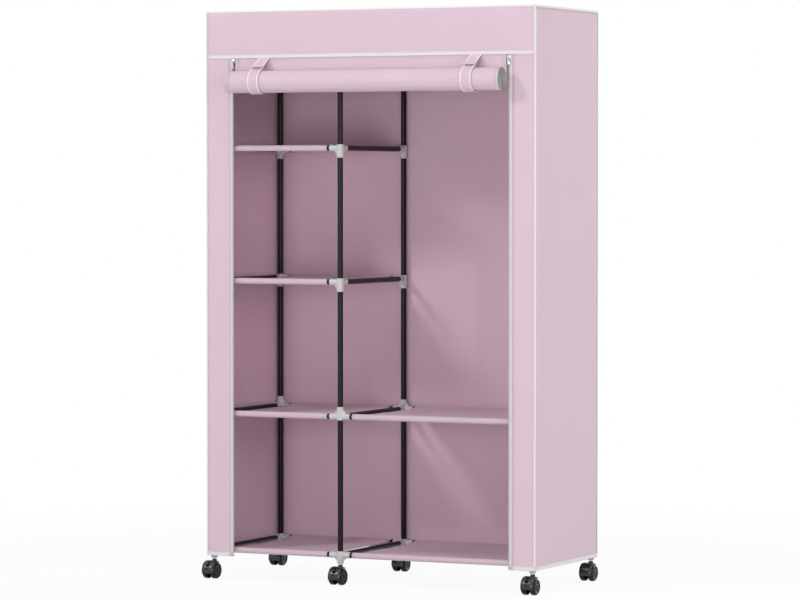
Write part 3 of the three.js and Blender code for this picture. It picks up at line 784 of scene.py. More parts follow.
def cloth_grid(width, height, place):
    """A grid of cloth with its flat map in metres; place turns two shares into a point."""
    bm = bmesh.new()
    bmesh.ops.create_grid(bm, x_segments=max(2, round(width / GRID_PITCH)),
                          y_segments=max(2, round(height / GRID_PITCH)), size=0.5)
    flat = bm.loops.layers.uv.new("cloth")
    for face in bm.faces:
        for loop in face.loops:
            loop[flat].uv = ((loop.vert.co.x + 0.5) * width, (loop.vert.co.y + 0.5) * height)
    for vert in bm.verts:
        vert.co = place(vert.co.x + 0.5, vert.co.y + 0.5)
    return bm


def cloth_sheet(name, bm, flat, stands_for,
                finish="cloth"):
    """Makes a piece of cloth that stands for nodes of the frame; its flat size is not used."""
    sizes = settings("cloth")
    solid = sizes.shelf_thickness if finish == "shelf" else sizes.thickness
    made = piece(name, bm, finish, stands_for=stands_for, solid=solid)


# Outer faces of the cover's cloth: the piping stands proud of them
PROUD = 0.0019
SIDE_X = WRAP_HIGH.x - PROUD
SIDES = {"left": -SIDE_X, "right": SIDE_X}
SIGNS = {"left": -1, "right": 1}
FRONT_Y, BACK_Y = WRAP_LOW.y + PROUD, WRAP_HIGH.y - PROUD
HEM_Z, WRAP_Z = WRAP_LOW.z, WRAP_HIGH.z
LEFT_STRIP, RIGHT_STRIP = 0.081, 0.073
STRIP_EDGE = {"left": LEFT_STRIP - WRAP_HIGH.x, "right": WRAP_HIGH.x - RIGHT_STRIP}
BEAD, BEAD_SIDES = 0.002, 14
FACE_FLANGE = 0.0022
SIDE_FLANGE = {"front": 0.0085, "back": 0.0028}
FLANGE_NEAR, FLANGE_LIFT, FLANGE_EDGE = 0.0002, 0.0008, 0.0003
PIPING_ANGLE, BEAD_ANGLE = 45, 50
HEM_OUT, HEM_IN, HEM_HEIGHT, HEM_FOLD = 0.0008, 0.0017, 0.012, 0.0006
RIBBON_THICKNESS = 0.0005
TRIM_PITCH = 0.02
STRIP_SWELL, BACK_SWELL, TOP_SWELL, HEADER_SWELL = 0.5, 0.8, 0.5, 0.4


def build_cover():
    """Side, back and front-strip cloth with piping, hem and the zip tapes."""
    half = settings("cloth").thickness / 2
    tall = WRAP_Z - HEM_Z
    deep = BACK_Y - FRONT_Y
    wide = SIDES["right"] - SIDES["left"]
    hem = build_hem()
    piping = [build_corner_piping(side, row) for side in SIDES for row in ROWS]

    def side_panel(side):
        sign = SIGNS[side]

        def place(u, v):
            off = swell(u, v, deep, tall, seed=3.1 * sign + 7, folds=SIDE_FOLDS)
            return Vector((SIDES[side] + sign * (off - half), FRONT_Y + u * deep,
                           HEM_Z + v * tall))
        return cloth_grid(deep, tall, place)

    def back_panel(u, v):
        off = swell(u, v, wide, tall, seed=12.4, folds=BACK_FOLDS)
        return Vector((SIDES["left"] + u * wide, BACK_Y - half + off * BACK_SWELL,
                       HEM_Z + v * tall))

    def strip_panel(side, width):
        inner, outer = STRIP_EDGE[side], SIDES[side]

        def place(u, v):
            off = swell(u, v, width, tall, seed=5.2 * SIGNS[side])
            return Vector((inner + (outer - inner) * u, FRONT_Y + half - off * STRIP_SWELL,
                           HEM_Z + v * tall))
        return cloth_grid(width, tall, place)

    # The side, back and strip cloth carry painted shade on their inner faces.
    for side in SIDES:
        cloth_sheet(f"cover_side_{side}", side_panel(side), (deep, tall),
                    ["cover_wrap"], finish="shaded_inside")
    cloth_sheet("cover_back", cloth_grid(wide, tall, back_panel), (wide, tall),
                ["cover_wrap"], finish="shaded_inside")
    for side, outer in SIDES.items():
        width = abs(outer - STRIP_EDGE[side])
        zip_pieces = [build_zip_tape(side), build_zip_chain(side)]
        cloth_sheet(f"front_strip_{side}", strip_panel(side, width), (width, tall),
                    ["cover_wrap"], finish="shaded_inside")


def build_corner_piping(side, row):
    """White piping that covers the seam of an upright corner, with a flange on each face."""
    out_x = SIGNS[side]
    y, out_y = (FRONT_Y, -1) if row == "front" else (BACK_Y, 1)
    reach = PROUD - BEAD
    centre = Vector((SIDES[side] + out_x * reach, y + out_y * reach, 0))
    start = math.atan2(out_y, out_x)
    angles = [start + math.tau * i / BEAD_SIDES for i in range(BEAD_SIDES)]
    bead = [(BEAD * math.cos(angle), BEAD * math.sin(angle)) for angle in angles]
    frames = [Matrix.Translation(centre + Z * z) for z in spaced(HEM_Z, WRAP_Z, pitch=0.05)]
    bm = sweep(bead, frames, closed=True, caps=True)
    for low, high in (
            ((SIDES[side] - out_x * FACE_FLANGE, y + out_y * FLANGE_NEAR),
             (SIDES[side], y + out_y * FLANGE_LIFT)),
            ((SIDES[side] + out_x * FLANGE_NEAR, y),
             (SIDES[side] + out_x * FLANGE_LIFT, y - out_y * SIDE_FLANGE[row]))):
        xs, ys = sorted((low[0], high[0])), sorted((low[1], high[1]))
        band = slab((xs[0], ys[0], HEM_Z), (xs[1], ys[1], WRAP_Z), FLANGE_EDGE)
        band.loops.layers.uv.new("cloth")
        merge(bm, band)
    return piece(f"corner_piping_{row}_{side}", bm, "piping", angle=PIPING_ANGLE)


def build_hem():
    """White hem binding folded over the bottom edge of the cover."""
    section = [(HEM_OUT, HEM_HEIGHT), (HEM_OUT, HEM_FOLD), (HEM_OUT - HEM_FOLD, 0),
               (-HEM_IN, 0), (-HEM_IN - HEM_FOLD, HEM_FOLD), (-HEM_IN - HEM_FOLD, HEM_HEIGHT)]
    left, right = SIDES["left"], SIDES["right"]
    corners = [(STRIP_EDGE["left"], FRONT_Y), (left, FRONT_Y), (left, BACK_Y),
               (right, BACK_Y), (right, FRONT_Y), (STRIP_EDGE["right"], FRONT_Y)]
    points = []
    for a, b in zip(corners, corners[1:]):
        count = max(1, round(math.dist(a, b) / TRIM_PITCH))
        points += [(a[0] + (b[0] - a[0]) * i / count, a[1] + (b[1] - a[1]) * i / count, HEM_Z)
                   for i in range(count)]
    points.append((*corners[-1], HEM_Z))
    bm = sweep([(-x, y) for x, y in section], level_frames(points))
    return piece("hem_binding", bm, "binding", solid=RIBBON_THICKNESS, offset=1)


# The middle plane of the zip tapes, which the sliders' slots straddle
TAPE_Y = FRONT_Y + 0.00075
TAPE_LAP, TAPE_BACK, TAPE_WAVE = 0.0008, 0.0003, 0.0001
TOOTH_PITCH = 0.0019
TOOTH_LOW, TOOTH_HIGH = (-0.0014, -0.0012, -0.0005), (0.0015, 0.0012, 0.0005)
CORD_RADIUS, CORD_SETBACK, CORD_LIFT = 0.00075, 0.0011, 0.0009


def build_zip_tape(side):
    """A woven tape from the strip's edge to the chain."""
    edge, chain = STRIP_EDGE[side], CHAIN_X[side]
    sign = 1 if chain > edge else -1
    width = abs(chain - edge)
    section = [(0, 0), (width * 0.3, -TAPE_WAVE), (width * 0.62, TAPE_WAVE), (width + 0.0002, 0)]
    frames = [mirrored(edge - sign * TAPE_LAP, TAPE_Y - TAPE_BACK, z, sign)
              for z in spaced(HEM_Z, WRAP_Z - 0.001, TRIM_PITCH)]
    return piece(f"zip_tape_{side}", sweep(section, frames), "tape", solid=0.0009)


def build_zip_chain(side):
    """The coil of one side of the zip: a cord with a row of moulded turns on it."""
    chain = CHAIN_X[side]
    sign = 1 if chain > STRIP_EDGE[side] else -1
    top = TOP_LOW.z - 0.0006
    bm = bmesh.new()
    tooth = slab(TOOTH_LOW, TOOTH_HIGH, bevel=0.00035, segments=1)
    mesh = bpy.data.meshes.new("tooth")
    tooth.to_mesh(mesh)
    tooth.free()
    for i in range(int((top - HEM_Z - 0.002) / TOOTH_PITCH)):
        place = mirrored(chain + sign * 0.0001, TAPE_Y, HEM_Z + 0.001 + TOOTH_PITCH * i, sign)
        mesh_copy_into(bm, mesh, place)
    bpy.data.meshes.remove(mesh)
    if sign < 0:
        bmesh.ops.recalc_face_normals(bm, faces=bm.faces)
    cord = (chain - sign * CORD_SETBACK, TAPE_Y - CORD_LIFT)
    merge(bm, rod(CORD_RADIUS, (*cord, HEM_Z), (*cord, top), sides=10))
    return piece(f"zip_chain_{side}", bm, "coil", angle=40)


def mirrored(x, y, z, sign):
    """The matrix that moves a shape to a place and, where the sign is -1, mirrors it in X."""
    return Matrix.Translation((x, y, z)) @ Matrix.Diagonal((sign, 1, 1, 1))


def mesh_copy_into(bm, mesh, matrix):
    """Adds a moved copy of a mesh to a shape."""
    before = len(bm.verts)
    bm.from_mesh(mesh)
    bm.verts.ensure_lookup_table()
    bmesh.ops.transform(bm, matrix=matrix, verts=bm.verts[before:])


HEADER_Z = TOP_LOW.z + 0.002
HEADER_Y = FRONT_Y - 0.0003
HEADER_INSET = 0.0004
PANEL_DROP, HEADER_DROP, TRIM_DROP = 0.0004, 0.0017, 0.001
BINDING_OUT, BINDING_HEIGHT, BINDING_FOLD = 0.0009, 0.0107, 0.0005
TOP_BEAD, TOP_BEAD_RISE, TOP_BEAD_SIDES = 0.003, 0.0022, 16
CORNER_BEND, CORNER_STEPS = 0.004, 6


def build_top():
    """Top panel with its piping, and the header with its binding."""
    half = settings("cloth").thickness / 2
    left, right = SIDES["left"], SIDES["right"]
    wide, deep = right - left, BACK_Y - FRONT_Y
    sag = settings("cloth").top_sag
    tubes = [POSTS["front_left"].x, POSTS["front_middle"].x, POSTS["front_right"].x]
    rows = [POSTS["front_left"].y, POSTS["back_left"].y]

    def bay_share(value, stops):
        for low, high in zip(stops, stops[1:]):
            if low < value < high:
                return math.sin(math.pi * (value - low) / (high - low))
        return 0.0

    def place(u, v):
        x, y = left + u * wide, FRONT_Y + v * deep
        dip = sag * bay_share(x, tubes) * bay_share(y, rows)
        rise = swell(u, v, wide, deep, seed=21.5) * TOP_SWELL
        return Vector((x, y, TOP_HIGH.z - PANEL_DROP - half - dip + min(rise, 0)))

    piping = build_top_piping()
    cloth_sheet("cover_top_cloth", cloth_grid(wide, deep, place), (wide, deep),
                ["cover_top"])

    start, end = left + HEADER_INSET, right - HEADER_INSET
    tall = TOP_HIGH.z - HEADER_DROP - HEADER_Z
    y = HEADER_Y - half * 2

    def header(u, v):
        off = swell(u, v, end - start, tall, seed=31.7) * HEADER_SWELL
        return Vector((start + (end - start) * u, y - max(off, -0.0002), HEADER_Z + v * tall))

    binding = build_header_binding(start, end, y)
    trims = build_header_trims(y)
    cloth_sheet("cover_header", cloth_grid(end - start, tall, header), (end - start, tall),
                ["cover_top"])


def build_header_trims(y):
    """The upright piping at both ends of the header."""
    made = []
    top = TOP_HIGH.z - TRIM_DROP
    for side, x in SIDES.items():
        out = SIGNS[side]
        bead = ring_section(2 * BEAD, 2 * BEAD, BEAD_SIDES)
        centre = Vector((x + out * (PROUD - BEAD), y + 0.0004, 0))
        frames = [Matrix.Translation(centre + Z * z) for z in spaced(HEADER_Z, top, pitch=0.03)]
        bm = sweep(bead, frames, closed=True, caps=True)
        inner = x - out * FACE_FLANGE
        band = slab((min(x, inner), y - 0.0011, HEADER_Z), (max(x, inner), y - 0.0003, top),
                    FLANGE_EDGE)
        band.loops.layers.uv.new("cloth")
        merge(bm, band)
        made.append(piece(f"header_piping_{side}", bm, "piping",
                          angle=PIPING_ANGLE))
    return made


def build_top_piping():
    """Piping round the edge of the top panel, in one closed loop."""
    left, right = SIDES["left"] - PROUD, SIDES["right"] + PROUD
    low_y, high_y = WRAP_LOW.y - 0.0004, WRAP_HIGH.y
    centre_x, reach_x = (left + right) / 2, (right - left) / 2 - TOP_BEAD - CORNER_BEND
    centre_y, reach_y = (low_y + high_y) / 2, (high_y - low_y) / 2 - TOP_BEAD - CORNER_BEND
    z = TOP_HIGH.z + TOP_BEAD_RISE - TOP_BEAD
    points = []
    for sx, sy, start in ((1, -1, -90), (1, 1, 0), (-1, 1, 90), (-1, -1, 180)):
        for i in range(CORNER_STEPS + 1):
            angle = math.radians(start + 90 * i / CORNER_STEPS)
            points.append((centre_x + sx * reach_x + CORNER_BEND * math.cos(angle),
                           centre_y + sy * reach_y + CORNER_BEND * math.sin(angle), z))
    frames = level_frames(points, closed=True)
    section = ring_section(2 * TOP_BEAD, 2 * TOP_BEAD, TOP_BEAD_SIDES)
    bm = sweep(section, frames + [frames[0]], closed=True)
    bmesh.ops.remove_doubles(bm, verts=bm.verts, dist=1e-6)
    bmesh.ops.recalc_face_normals(bm, faces=bm.faces)
    return piece("top_piping", bm, "piping", angle=PIPING_ANGLE)


def build_header_binding(start, end, y):
    """White ribbon folded over the lower edge of the header."""
    out, fold = BINDING_OUT, BINDING_FOLD
    section = [(-out, BINDING_HEIGHT), (-out, fold), (fold - out, 0), (out - fold, 0),
               (out, fold), (out, BINDING_HEIGHT)]
    points = [(x, y, HEADER_Z) for x in spaced(end, start, TRIM_PITCH)]
    bm = sweep(section, level_frames(points))
    return piece("header_binding", bm, "binding", solid=RIBBON_THICKNESS,
                 offset=1)


# Rolled door

ROLL_RADIUS = 0.033
ROLL_Y, ROLL_Z = DOOR_LOW.y + ROLL_RADIUS, DOOR_LOW.z + ROLL_RADIUS
DOOR_Y = FRONT_Y + 0.0009
ROLL_LINE, ROLL_END = ROLL_RADIUS - 0.0007, 0.0032
ROLL_PITCH, ROLL_STEPS = 0.00235, 44
ROLL_DRIFT, DRIFT_DROP, DRIFT_REACH = 0.005, 0.01, 0.05
LEAD_STEPS, LEAD_SHARE = 9, 0.55
UNEVEN, FINE_SHARE, CORE_RADIUS = 0.0005, 0.35, 0.02
DOOR_EDGE, EDGE_LAP, EDGE_START, EDGE_THICKNESS = 0.0055, 0.0004, 0.0012, 0.0012
HALF_INSET, HALF_WIDTH, HALF_HEIGHT = 0.0013, 0.0026, 0.0022


def door_path():
    """The door's line in Y and Z: down behind the header and round into the roll."""
    points = [(DOOR_Y, z) for z in spaced(WRAP_Z - 0.001, TOP_LOW.z, pitch=0.012)]
    start = Vector((DOOR_Y, TOP_LOW.z))
    end = Vector((ROLL_Y + ROLL_LINE, ROLL_Z))
    for i in range(1, LEAD_STEPS):
        share = i / LEAD_STEPS
        ease = smooth_step(share) * LEAD_SHARE + share * (1 - LEAD_SHARE)
        points.append((start.x + (end.x - start.x) * ease, start.y + (end.y - start.y) * share))
    turns = 0.5 + (ROLL_LINE - ROLL_END) / ROLL_PITCH
    for i in range(round(turns * ROLL_STEPS) + 1):
        turn = i / ROLL_STEPS
        radius = ROLL_LINE - ROLL_PITCH * max(0.0, turn - 0.5)
        angle = -math.tau * turn
        points.append((ROLL_Y + radius * math.cos(angle), ROLL_Z + radius * math.sin(angle)))
    return points


def loosen_roll(bm):
    """Gives the roll the slight unevenness of cloth, the same in every layer, and its drift."""
    for vert in bm.verts:
        rolled = smooth_step((TOP_LOW.z - DRIFT_DROP - vert.co.z) / DRIFT_REACH)
        share = (vert.co.x - DOOR_LOW.x) / (DOOR_HIGH.x - DOOR_LOW.x)
        vert.co.x += ROLL_DRIFT * rolled * share
        away = Vector((0, vert.co.y - ROLL_Y, vert.co.z - ROLL_Z))
        if away.length > ROLL_RADIUS + 0.001 or away.length < 0.001:
            continue
        angle = math.atan2(away.z, away.y)
        wave, fine = (noise.noise(Vector((vert.co.x * along, math.cos(angle) * around,
                                          math.sin(angle) * around)))
                      for along, around in ((9, 1.2), (34, 3)))
        share = min(1, away.length / CORE_RADIUS)
        vert.co += away.normalized() * UNEVEN * (wave + FINE_SHARE * fine) * share


def build_door():
    """The door, rolled up: its cloth, edge bindings and zip halves follow one line."""
    low_x, high_x = DOOR_LOW.x, DOOR_HIGH.x
    points = door_path()
    frames = upright_frames(points)
    inset = DOOR_EDGE - EDGE_LAP
    bm = sweep([(x, 0) for x in spaced(low_x + inset, high_x - inset, pitch=0.022)], frames)
    loosen_roll(bm)
    for side, outer, sign in (("left", low_x, 1), ("right", high_x, -1)):
        section = [(outer + sign * x, 0)
                   for x in (EDGE_START, DOOR_EDGE * 0.45, DOOR_EDGE * 0.7, DOOR_EDGE)]
        tape = sweep(sorted(section), frames)
        loosen_roll(tape)
        piece(f"door_edge_{side}", tape, "binding",
                           solid=EDGE_THICKNESS)
        ring = ring_section(HALF_WIDTH, HALF_HEIGHT, 8)
        bead = sweep([(outer + sign * HALF_INSET + x, y) for x, y in ring], frames,
                     closed=True, caps=True)
        loosen_roll(bead)
        # The zip halves carry painted shade of the roll's end in their darker grey.
        piece(f"door_zip_half_{side}", bead, "half",
                           angle=BEAD_ANGLE)
    cloth_sheet("door_cloth", bm, (high_x - low_x, path_length(points)),
                ["rolled_door"])


STRAP_LIFT = 0.0034
START_OUT, START_DROP, BEND_OUT, BEND_DROP = 0.0014, 0.0004, 0.0006, 0.003
TAB_SHARE, TAB_STEPS, TAB_RISE, TAB_CURL = 0.8, 12, 0.0016, 0.005
BAND_SHARES, BAND_RISE, BAND_STEP = (0.5, 0.6, 0.7, 0.8, 0.9), -0.0005, math.radians(6)
BEHIND_DOOR, BACK_STEPS = 0.0014, 8
STRAP_INSET, STRAP_PITCH = 0.003, 0.005
TRIM_INSET, TRIM_WIDTH, TRIM_HEIGHT, TAB_HEM = 0.0023, 0.0046, 0.0026, 0.0036


def strap_lines(top):
    """A strap's two lines in Y and Z, of its tab and its band, and the way its tab points."""
    radius = ROLL_RADIUS + STRAP_LIFT
    start = (FRONT_Y - START_OUT, HEADER_Z - START_DROP)
    bend = (start[0] - BEND_OUT, start[1] - BEND_DROP)
    away = math.dist(bend, (ROLL_Y, ROLL_Z))
    first = math.atan2(bend[1] - ROLL_Z, bend[0] - ROLL_Y) + math.acos(radius / away)

    def on_roll(angle):
        return (ROLL_Y + radius * math.cos(angle), ROLL_Z + radius * math.sin(angle))

    touch = on_roll(first)
    aim = (touch[0] - bend[0], touch[1] - bend[1])
    reach = math.hypot(*aim)
    aim = (aim[0] / reach, aim[1] / reach)
    out = (aim[1], -aim[0])

    def on_tab(share, rise):
        return (bend[0] + aim[0] * reach * share + out[0] * rise,
                bend[1] + aim[1] * reach * share + out[1] * rise)

    tab = [start] + [
        on_tab(TAB_SHARE * i / TAB_STEPS, TAB_RISE + TAB_CURL * smooth_step(i / 4 - 2))
        for i in range(TAB_STEPS + 1)]
    band = [on_tab(share, BAND_RISE) for share in BAND_SHARES]
    band += [on_roll(angle) for angle in spaced(first, math.tau, BAND_STEP)]
    behind, last = DOOR_Y + BEHIND_DOOR, band[-1][0]
    for i in range(1, BACK_STEPS + 1):
        share = i / BACK_STEPS
        band.append((last + (behind - last) * smooth_step(share),
                     ROLL_Z + (TOP_LOW.z - ROLL_Z) * share))
    band += [(behind, z) for z in spaced(TOP_LOW.z + 0.003, top, pitch=0.006)]
    return tab, band, aim


def build_tab_hem(side, middle, half, end, aim):
    """The folded hem across the free end of a strap's tab."""
    turn = Matrix((Vector((0, aim[0], aim[1])), Vector((0, -aim[1], aim[0])), X))
    turn = turn.transposed().to_4x4()
    frames = [Matrix.Translation((x, *end)) @ turn
              for x in spaced(middle - half, middle + half, pitch=0.006)]
    hem = sweep(ring_section(TAB_HEM, TRIM_HEIGHT), frames, closed=True, caps=True)
    return piece(f"strap_tab_hem_{side}", hem, "cloth", angle=BEAD_ANGLE)


def build_straps():
    """Each strap: a tab from the header, and a band that goes round the roll."""
    for side in SIDES:
        low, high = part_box(f"door_strap_{side}")
        middle, half = (low.x + high.x) / 2, (high.x - low.x) / 2
        tab, band, aim = strap_lines(high.z)
        made = {}
        for name, line in (("tab", tab), ("band", band)):
            frames = upright_frames(line)
            xs = spaced(STRAP_INSET - half, half - STRAP_INSET, STRAP_PITCH)
            cloth = sweep([(middle + x, 0) for x in xs], frames)
            trims = []
            for edge, sign in SIGNS.items():
                centre = middle + sign * (half - TRIM_INSET)
                section = [(centre + x, y) for x, y in ring_section(TRIM_WIDTH, TRIM_HEIGHT)]
                bead = sweep(section, frames, closed=True, caps=True)
                trims.append(piece(f"strap_{name}_edge_{side}_{edge}", bead, "piping",
                                   angle=BEAD_ANGLE))
            if name == "tab":
                trims.append(build_tab_hem(side, middle, half, tab[-1], aim))
            made[name] = line, cloth, trims
        for name, (line, cloth, trims) in made.items():
            rests = ["cover_header"] if name == "tab" else ["door_cloth"]
            cloth_sheet(f"strap_{name}_{side}", cloth, (2 * half, path_length(line)),
                        [f"door_strap_{side}"])


# Shelves

SLEEVE_STEP, SLEEVE_START, SLEEVE_END = math.radians(12), -math.pi * 0.62, math.pi * 0.5
LINE_STEP_SHARE, SAG_POWER = 0.02, 7
SEAM_SHARE, SEAM_DROP, SEAM_GAP = 0.6, 0.0005, 0.0008
SHELF_WAVES, SHELF_WAVE, SHELF_FADE_SHARE = (7, 9), 0.0011, 0.12
EDGE_LIFT, EDGE_POWER = 0.0008, 6


def shelf_line(front, back, level):
    """A shelf cloth's line: round the front tube, across, and round the back tube."""
    cloth = settings("cloth")
    radius = settings("frame").tube_radius + cloth.sleeve_gap + cloth.shelf_thickness / 2
    seam, top, span = cloth.seam_setback, level + radius, back - front

    def dip(share):
        return cloth.shelf_sag * (1 - abs(2 * share - 1) ** SAG_POWER)

    def sleeve(centre, facing, start, end):
        return [(centre + facing * radius * math.cos(angle), level + radius * math.sin(angle))
                for angle in spaced(start, end, SLEEVE_STEP)]

    hem_end = top - dip(seam / span) - SEAM_GAP
    line = [(front + seam, hem_end), (front + seam * SEAM_SHARE, level - SEAM_DROP)]
    line += sleeve(front, -1, SLEEVE_START, SLEEVE_END)
    line += [(front + span * share, top - dip(share))
             for share in spaced(LINE_STEP_SHARE, 1 - LINE_STEP_SHARE, LINE_STEP_SHARE)]
    line += sleeve(back, 1, SLEEVE_END, SLEEVE_START)
    return line + [(back - seam * SEAM_SHARE, level - SEAM_DROP), (back - seam, hem_end)]


def build_shelves():
    """The cloth shelves in their sleeves, with the two tubes of each."""
    cloth = settings("cloth")
    radius = settings("frame").tube_radius
    bays = [("left", n) for n in range(1, 5)] + [("right", n) for n in range(1, 3)]
    for bay, number in bays:
        node = f"shelf_{bay}_{number}"
        low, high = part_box(node)
        level = LEVELS[number - 1]
        columns = ("left", "middle") if bay == "left" else ("middle", "right")
        start = POSTS[f"front_{columns[0]}"].x + cloth.shelf_setback
        end = POSTS[f"front_{columns[1]}"].x - cloth.shelf_setback
        front, back = POSTS["front_left"].y, POSTS["back_left"].y
        for row, y in (("front", front), ("back", back)):
            piece(
                f"shelf_tube_{row}_{bay}_{number}",
                rod(radius, (low.x, y, level), (high.x, y, level), edge=TUBE_EDGE),
                "lacquer")
        line = shelf_line(front, back, level)
        bm = sweep([(x, 0) for x in spaced(start, end, GRID_PITCH)], upright_frames(line))
        seed = number * 2.7 + (9 if bay == "right" else 0)
        for vert in bm.verts:
            depth = (vert.co.y - front) / (back - front)
            span = (vert.co.x - start) / (end - start)
            fade = (smooth_step(depth / SHELF_FADE_SHARE)
                    * smooth_step((1 - depth) / SHELF_FADE_SHARE))
            wave = noise.noise(Vector((vert.co.x * SHELF_WAVES[0] + seed,
                                       vert.co.y * SHELF_WAVES[1], seed)))
            lift = EDGE_LIFT * abs(2 * span - 1) ** EDGE_POWER
            vert.co.z += (SHELF_WAVE * wave + lift) * fade
        cloth_sheet(f"shelf_cloth_{bay}_{number}", bm, (end - start, path_length(line)),
                    [node], "shelf")


# Zip sliders and pulls

PLATE_EDGE = 0.0003
PLATE_OFFSET, PLATE_THICKNESS, RIM_LOW = 0.0026, 0.0012, 0.0014
RIM_X, RIM_HALF, RIM_EDGE, RIM_DROP = 0.0043, 0.0004, 0.0002, 0.0012
DIVIDER_HALF, DIVIDER_DROP = 0.0008, 0.0036
ARCH_REACH, ARCH_HALF, ARCH_STEPS = 0.0034, 0.0029, 12
PULL_THICKNESS, PULL_SHOULDER, PULL_ROUND, PULL_DROP = 0.0014, 0.0022, 0.0016, 0.0002
WINDOW_HALF, WINDOW_LOW, WINDOW_HIGH, CUT_HALF = 0.0020, 0.00535, 0.00075, 0.003
GRIP_RADIUS = 0.0015
METAL_ANGLE = 40

# Stands an outline of (across, up) points in the plane of X and Z
FACING = Matrix((X, Z, -Y)).transposed().to_4x4()


def slider_shape(x, foot, top, pivot_z):
    """A zip slider: two plates with rims, the divider between them and the bail in front."""
    rim_foot, rim_top = foot + 0.0035, top - RIM_DROP
    half = [(0.0030, foot), (0.0044, rim_foot), (0.00475, foot + 0.0070),
            (0.0046, top - 0.0010), (0.0036, top), (0.0009, top - 0.0008)]
    outline = [(-across, up) for across, up in half] + half[::-1]
    bm = bmesh.new()
    for face in (-1, 1):
        plate = prism(outline, PLATE_THICKNESS, PLATE_EDGE)
        merge(bm, plate, Matrix.Translation((x, TAPE_Y + face * PLATE_OFFSET, 0)) @ FACING)
        for edge in (-1, 1):
            centre = x + edge * RIM_X
            merge(bm, slab((centre - RIM_HALF, TAPE_Y + face * PLATE_OFFSET, rim_foot),
                           (centre + RIM_HALF, TAPE_Y + face * RIM_LOW, rim_top), RIM_EDGE))
    merge(bm, slab((x - DIVIDER_HALF, TAPE_Y - PLATE_OFFSET, top - DIVIDER_DROP),
                   (x + DIVIDER_HALF, TAPE_Y + PLATE_OFFSET, rim_top), PLATE_EDGE))
    front = TAPE_Y - PLATE_OFFSET - PLATE_THICKNESS / 2
    arch = []
    for i in range(ARCH_STEPS + 1):
        angle = math.pi * i / ARCH_STEPS
        arch.append((front + 0.0002 - ARCH_REACH * math.sin(angle),
                     pivot_z + ARCH_HALF * math.cos(angle)))
    bail = sweep([(x + a, b) for a, b in ring_section(0.0024, 0.0011, 10)],
                 upright_frames(arch), closed=True, caps=True)
    return merge(bm, bail)


def pull_mesh(low, high, pivot, name):
    """A pull tab with a window for the bail and a round hole near its rounded end."""
    half = (high.x - low.x) / 2
    centre_z = low.z + half
    outline = [(half * math.cos(angle), centre_z + half * math.sin(angle))
               for angle in spaced(math.pi, math.tau, pitch=math.pi / 16)]
    top, shoulder = high.z - PULL_DROP, high.z - PULL_SHOULDER
    outline += [(half, shoulder), (half - PULL_ROUND, top), (PULL_ROUND - half, top),
                (-half, shoulder)]
    tab = bmesh.new()
    merge(tab, prism(outline, PULL_THICKNESS, PLATE_EDGE),
          Matrix.Translation((pivot.x, pivot.y, 0)) @ FACING)
    window = slab(pivot - Vector((WINDOW_HALF, CUT_HALF, WINDOW_LOW)),
                  pivot + Vector((WINDOW_HALF, CUT_HALF, -WINDOW_HIGH)))
    hole = Vector((pivot.x, pivot.y, centre_z))
    merge(window, rod(GRIP_RADIUS, hole - Y * CUT_HALF, hole + Y * CUT_HALF, 24))
    return joined_mesh(tab, window, name)


def build_zips():
    """The plated sliders and their pull tabs."""
    for side in SIDES:
        body, pull = f"zip_slider_{side}", f"zip_pull_{side}"
        low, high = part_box(body)
        pivot = Vector(JOINTS[f"zip_pull_swing_{side}"]["pos_m"])
        slider = slider_shape((low.x + high.x) / 2, low.z, high.z, pivot.z)
        piece(f"slider_{side}", slider, "plated", body, [body], angle=METAL_ANGLE)
        piece(f"pull_{side}", pull_mesh(*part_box(pull), pivot, f"pull_{side}"), "plated",
              pull, [pull], angle=METAL_ANGLE)


# Casters

CORNER_SHARE = 0.49


def rounded(points, corner, steps):
    """A profile with its inner points replaced by short curves of that reach, or of a share
    of the side where the side is short."""
    result = [points[0]]
    for before, here, after in zip(points, points[1:], points[2:]):
        a, b, c = Vector(before), Vector(after), Vector(here)
        reach_a = min(corner, (a - c).length * CORNER_SHARE)
        reach_b = min(corner, (b - c).length * CORNER_SHARE)
        start = c + (a - c).normalized() * reach_a
        end = c + (b - c).normalized() * reach_b
        for i in range(steps + 1):
            t = i / steps
            result.append(tuple(start * (1 - t) ** 2 + c * 2 * t * (1 - t) + end * t ** 2))
    return result + [points[-1]]


CURVE = 0.0012
AXLE_TO_CENTRE, WHEEL_WIDTH = 0.0073, 0.0146
HOOD_INNER, HOOD_OUTER, HOOD_HALF = 0.0265, 0.0298, 0.0193
HOOD_FRONT, HOOD_BACK = math.radians(-14), math.radians(118)
SHOULDER_DROP, SHOULDER_WIDTH = 0.0016, 0.0055
TRAIL = 0.017
WEB_SINK, WEB_FOOT_HALF, WEB_FOOT_DROP, WEB_WIDTH, WEB_EDGE = 0.0012, 0.0045, 0.0078, 0.010, 0.0006
BOSS_RADIUS, BOSS_DEPTH, BOSS_CURVE = 0.0065, 0.021, 0.0007
COLLAR_RADIUS, COLLAR_HEIGHT, COLLAR_FLARE = 0.0068, 0.0037, 0.0025
STEM_RADIUS, STEM_SINK, STEM_LENGTH, STEM_EDGE = 0.004, 0.004, 0.026, 0.0008
AXLE_RADIUS, AXLE_HALF = 0.003, 0.0165
PEDAL_LENGTH, PEDAL_HALF, PEDAL_THICKNESS, PEDAL_EDGE = 0.017, 0.0042, 0.003, 0.0004
PEDAL_TIP, PEDAL_TIP_SHARE, PEDAL_HUB = 0.0012, 0.3, 0.0032
RIB_START, RIB_PITCH, RIB_SINK, RIB_RADIUS, RIB_HALF_SHARE = 0.0018, 0.0017, 0.0001, 0.0004, 0.84
PIN_RADIUS, PIN_HALF, PIN_BORE, BORE_HALF = 0.0012, 0.0052, 0.0015, 0.006
SLOT_DEPTH, SLOT_RISE, SLOT_GAP, SLOT_REACH, SLOT_BACK = 0.0088, 0.0048, 0.0004, 0.0025, 0.002
